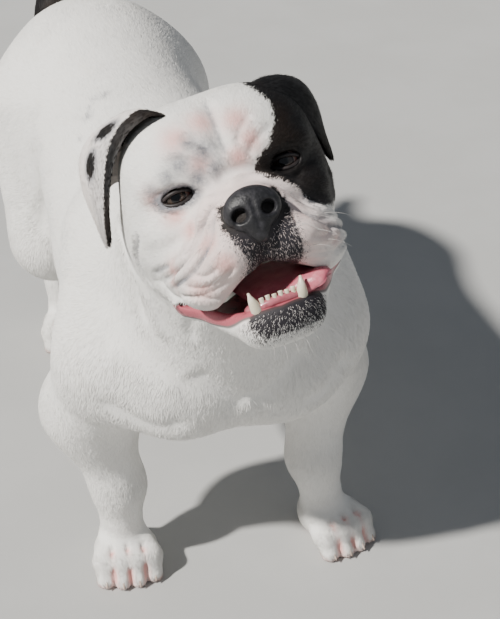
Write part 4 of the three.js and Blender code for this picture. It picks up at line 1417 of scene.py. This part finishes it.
def grow_coat(points, quads):
    """Roots spread over the skin by how dense the hair is, and tufts grown from them."""
    triangles = np.concatenate([quads[:, [0, 1, 2]], quads[:, [0, 2, 3]]])
    a, b, c = (points[triangles[:, k]] for k in range(3))
    cross = np.cross(b - a, c - a)
    area, middle = np.linalg.norm(cross, axis=1) / 2, (a + b + c) / 3
    share = fur_share(middle, unit(cross), marks_of_skin(middle))
    wanted = area * share * COVER / (TUFT_SHAPE * fur_length(middle) ** 2 / 2)
    total = int(wanted.sum())
    chosen = np.searchsorted(np.cumsum(wanted), rng.random(total) * wanted.sum())
    chosen = np.clip(chosen, 0, len(triangles) - 1)
    u, v = rng.random(total), rng.random(total)
    flip = u + v > 1
    u[flip], v[flip] = 1 - u[flip], 1 - v[flip]

    def at_roots(values):
        """What the points' values come to at the roots."""
        one, two, three = (values[triangles[chosen, k]] for k in range(3))
        return one + u[:, None] * (two - one) + v[:, None] * (three - one)

    roots = at_roots(points)
    normals = unit(at_roots(normals_of_points(len(points), triangles, cross)))
    tufts = {"root": roots, "normal": normals, "way": lie(roots, normals)}
    tufts["length"] = fur_length(roots) * rng.uniform(0.75, 1.2, total)
    tufts["lift"] = tufts["length"] * rng.uniform(0.02, 0.05, total)
    marks = marks_of_skin(roots)
    marks["black"] = ticked_black(marks["black"], marks["ticked"])
    marks["grey"] = np.maximum(marks["grey"], 0.75 * marks["ticked"] * rng.random(total))
    regions = regions_of(roots)
    for region in sorted(set(regions)):
        here = regions == region
        of_region = take(tufts, here)
        of_region["place"] = unwrap_place(of_region["root"], region)
        coat_pieces(region, of_region, take(marks, here))


def grow_ear_coat(name, side, sheet, way, half):
    """Tufts on both faces of an ear, pointing to its tip."""
    down, across = half.shape
    i, j = rng.random(EAR_TUFTS) * (down - 1.001), rng.random(EAR_TUFTS) * (across - 1.001)
    a, b = i.astype(int), j.astype(int)

    def between(grid):
        """What a grid over the ear comes to at the roots."""
        grid = grid.reshape(down, across, -1)
        top, bottom = (mix(grid[row, b], grid[row, b + 1], (j - b)[:, None]) for row in (a, a + 1))
        return mix(top, bottom, (i - a)[:, None])

    upper = rng.random(EAR_TUFTS) < 0.6
    normals = unit(between(way)) * np.where(upper, 1.0, -1.0)[:, None]
    roots = between(sheet) + normals * between(half)
    tipwards = unit(between(np.gradient(sheet, axis=0)))
    ways = flat_on(tipwards + rng.normal(0, 0.12, (EAR_TUFTS, 3)), normals)
    tufts = {"root": from_head(roots), "normal": normals @ HEAD.T, "way": ways @ HEAD.T}
    tufts["length"] = rng.uniform(3.4, 5.2, EAR_TUFTS)
    tufts["lift"] = tufts["length"] * rng.uniform(0.08, 0.16, EAR_TUFTS)
    u, v = i / (down - 1), j / (across - 1)
    half_of_cell = np.where(upper, 0, 0.5)
    tufts["place"] = place_in_map(f"ear_{name}", u, v * 0.48 + half_of_cell)
    coat_pieces(f"ear_{name}", tufts, marks_of_ear(u, v, upper == (side > 0), side))


# -------- stage

FLOOR_REACH = 40.0
LIGHTS_AIM = np.array([0, 0, 0.25])


def make_floor():
    mesh = bpy.data.meshes.new("floor")
    corners = [(x * FLOOR_REACH, y * FLOOR_REACH, 0) for x, y in ((-1, -1), (1, -1), (1, 1), (-1, 1))]
    mesh.from_pydata(corners, [], [(0, 1, 2, 3)])
    floor = bpy.data.objects.new("floor", mesh)
    bpy.context.scene.collection.objects.link(floor)
    mesh.materials.append(plain_material("floor_paint", (0.44, 0.44, 0.43), (0.46, 0.46, 0.45), 6, 0.8))


def lamp(name, kind, energy, size, colour, place):
    """A light at place, in the row frame, aimed at the dog. size is the sun's angle or a lamp's side."""
    data = bpy.data.lights.new(name, kind)
    data.energy, data.color = energy, colour
    if kind == "SUN":
        data.angle = size
    else:
        data.size = size
    light = bpy.data.objects.new(name, data)
    bpy.context.scene.collection.objects.link(light)
    place = np.array(place, float)
    z = unit(place - LIGHTS_AIM)
    x = unit(np.cross([0, 0, 1.0], z))
    light.matrix_world = matrix(x, np.cross(z, x), z, place)


def matrix(x, y, z, place):
    """The matrix of an object at place whose own axes run along x, y and z."""
    rows = [(*row, at) for row, at in zip(np.stack([x, y, z], -1), place)]
    return Matrix([*rows, (0, 0, 0, 1)])


def make_lights():
    lamp("sun", "SUN", 6.8, math.radians(3), (1.0, 0.97, 0.92), (-3.0, -0.7, 3.3))
    lamp("fill", "AREA", 3, 2.4, (0.9, 0.95, 1.0), (2.2, -2.2, 1.6))
    world = bpy.data.worlds.new("sky")
    world.use_nodes = True
    sky = world.node_tree.nodes["Background"]
    feed(world.node_tree, sky, {"Color": (0.80, 0.88, 1.0, 1), "Strength": 0.22})
    bpy.context.scene.world = world


def make_camera():
    a, e, r = (math.radians(v) for v in (CAMERA_HEADING, CAMERA_DROP, CAMERA_ROLL))
    ahead = np.array([-math.sin(a) * math.cos(e), math.cos(a) * math.cos(e), -math.sin(e)])
    right = np.array([math.cos(a), math.sin(a), 0])
    up = np.cross(right, ahead)
    turned_right = math.cos(r) * right + math.sin(r) * up
    turned_up = -math.sin(r) * right + math.cos(r) * up
    data = bpy.data.cameras.new("camera")
    data.sensor_width = SENSOR
    data.lens = CAMERA_FOCUS * SENSOR
    camera = bpy.data.objects.new("camera", data)
    bpy.context.scene.collection.objects.link(camera)
    camera.matrix_world = matrix(turned_right, turned_up, -ahead, to_row(CAMERA_AT))
    bpy.context.scene.camera = camera


# -------- all of it

skin_points, skin_quads = make_skin()
for ear_name in EAR_SET:
    grow_ear_coat(ear_name, *make_ear(ear_name))
for eye_side in SIDES:
    make_eye(eye_side)
make_lids()
make_nose()
make_tongue()
make_teeth()
make_claws()
make_whiskers()
grow_coat(skin_points, skin_quads)
make_floor()
make_lights()
make_camera()
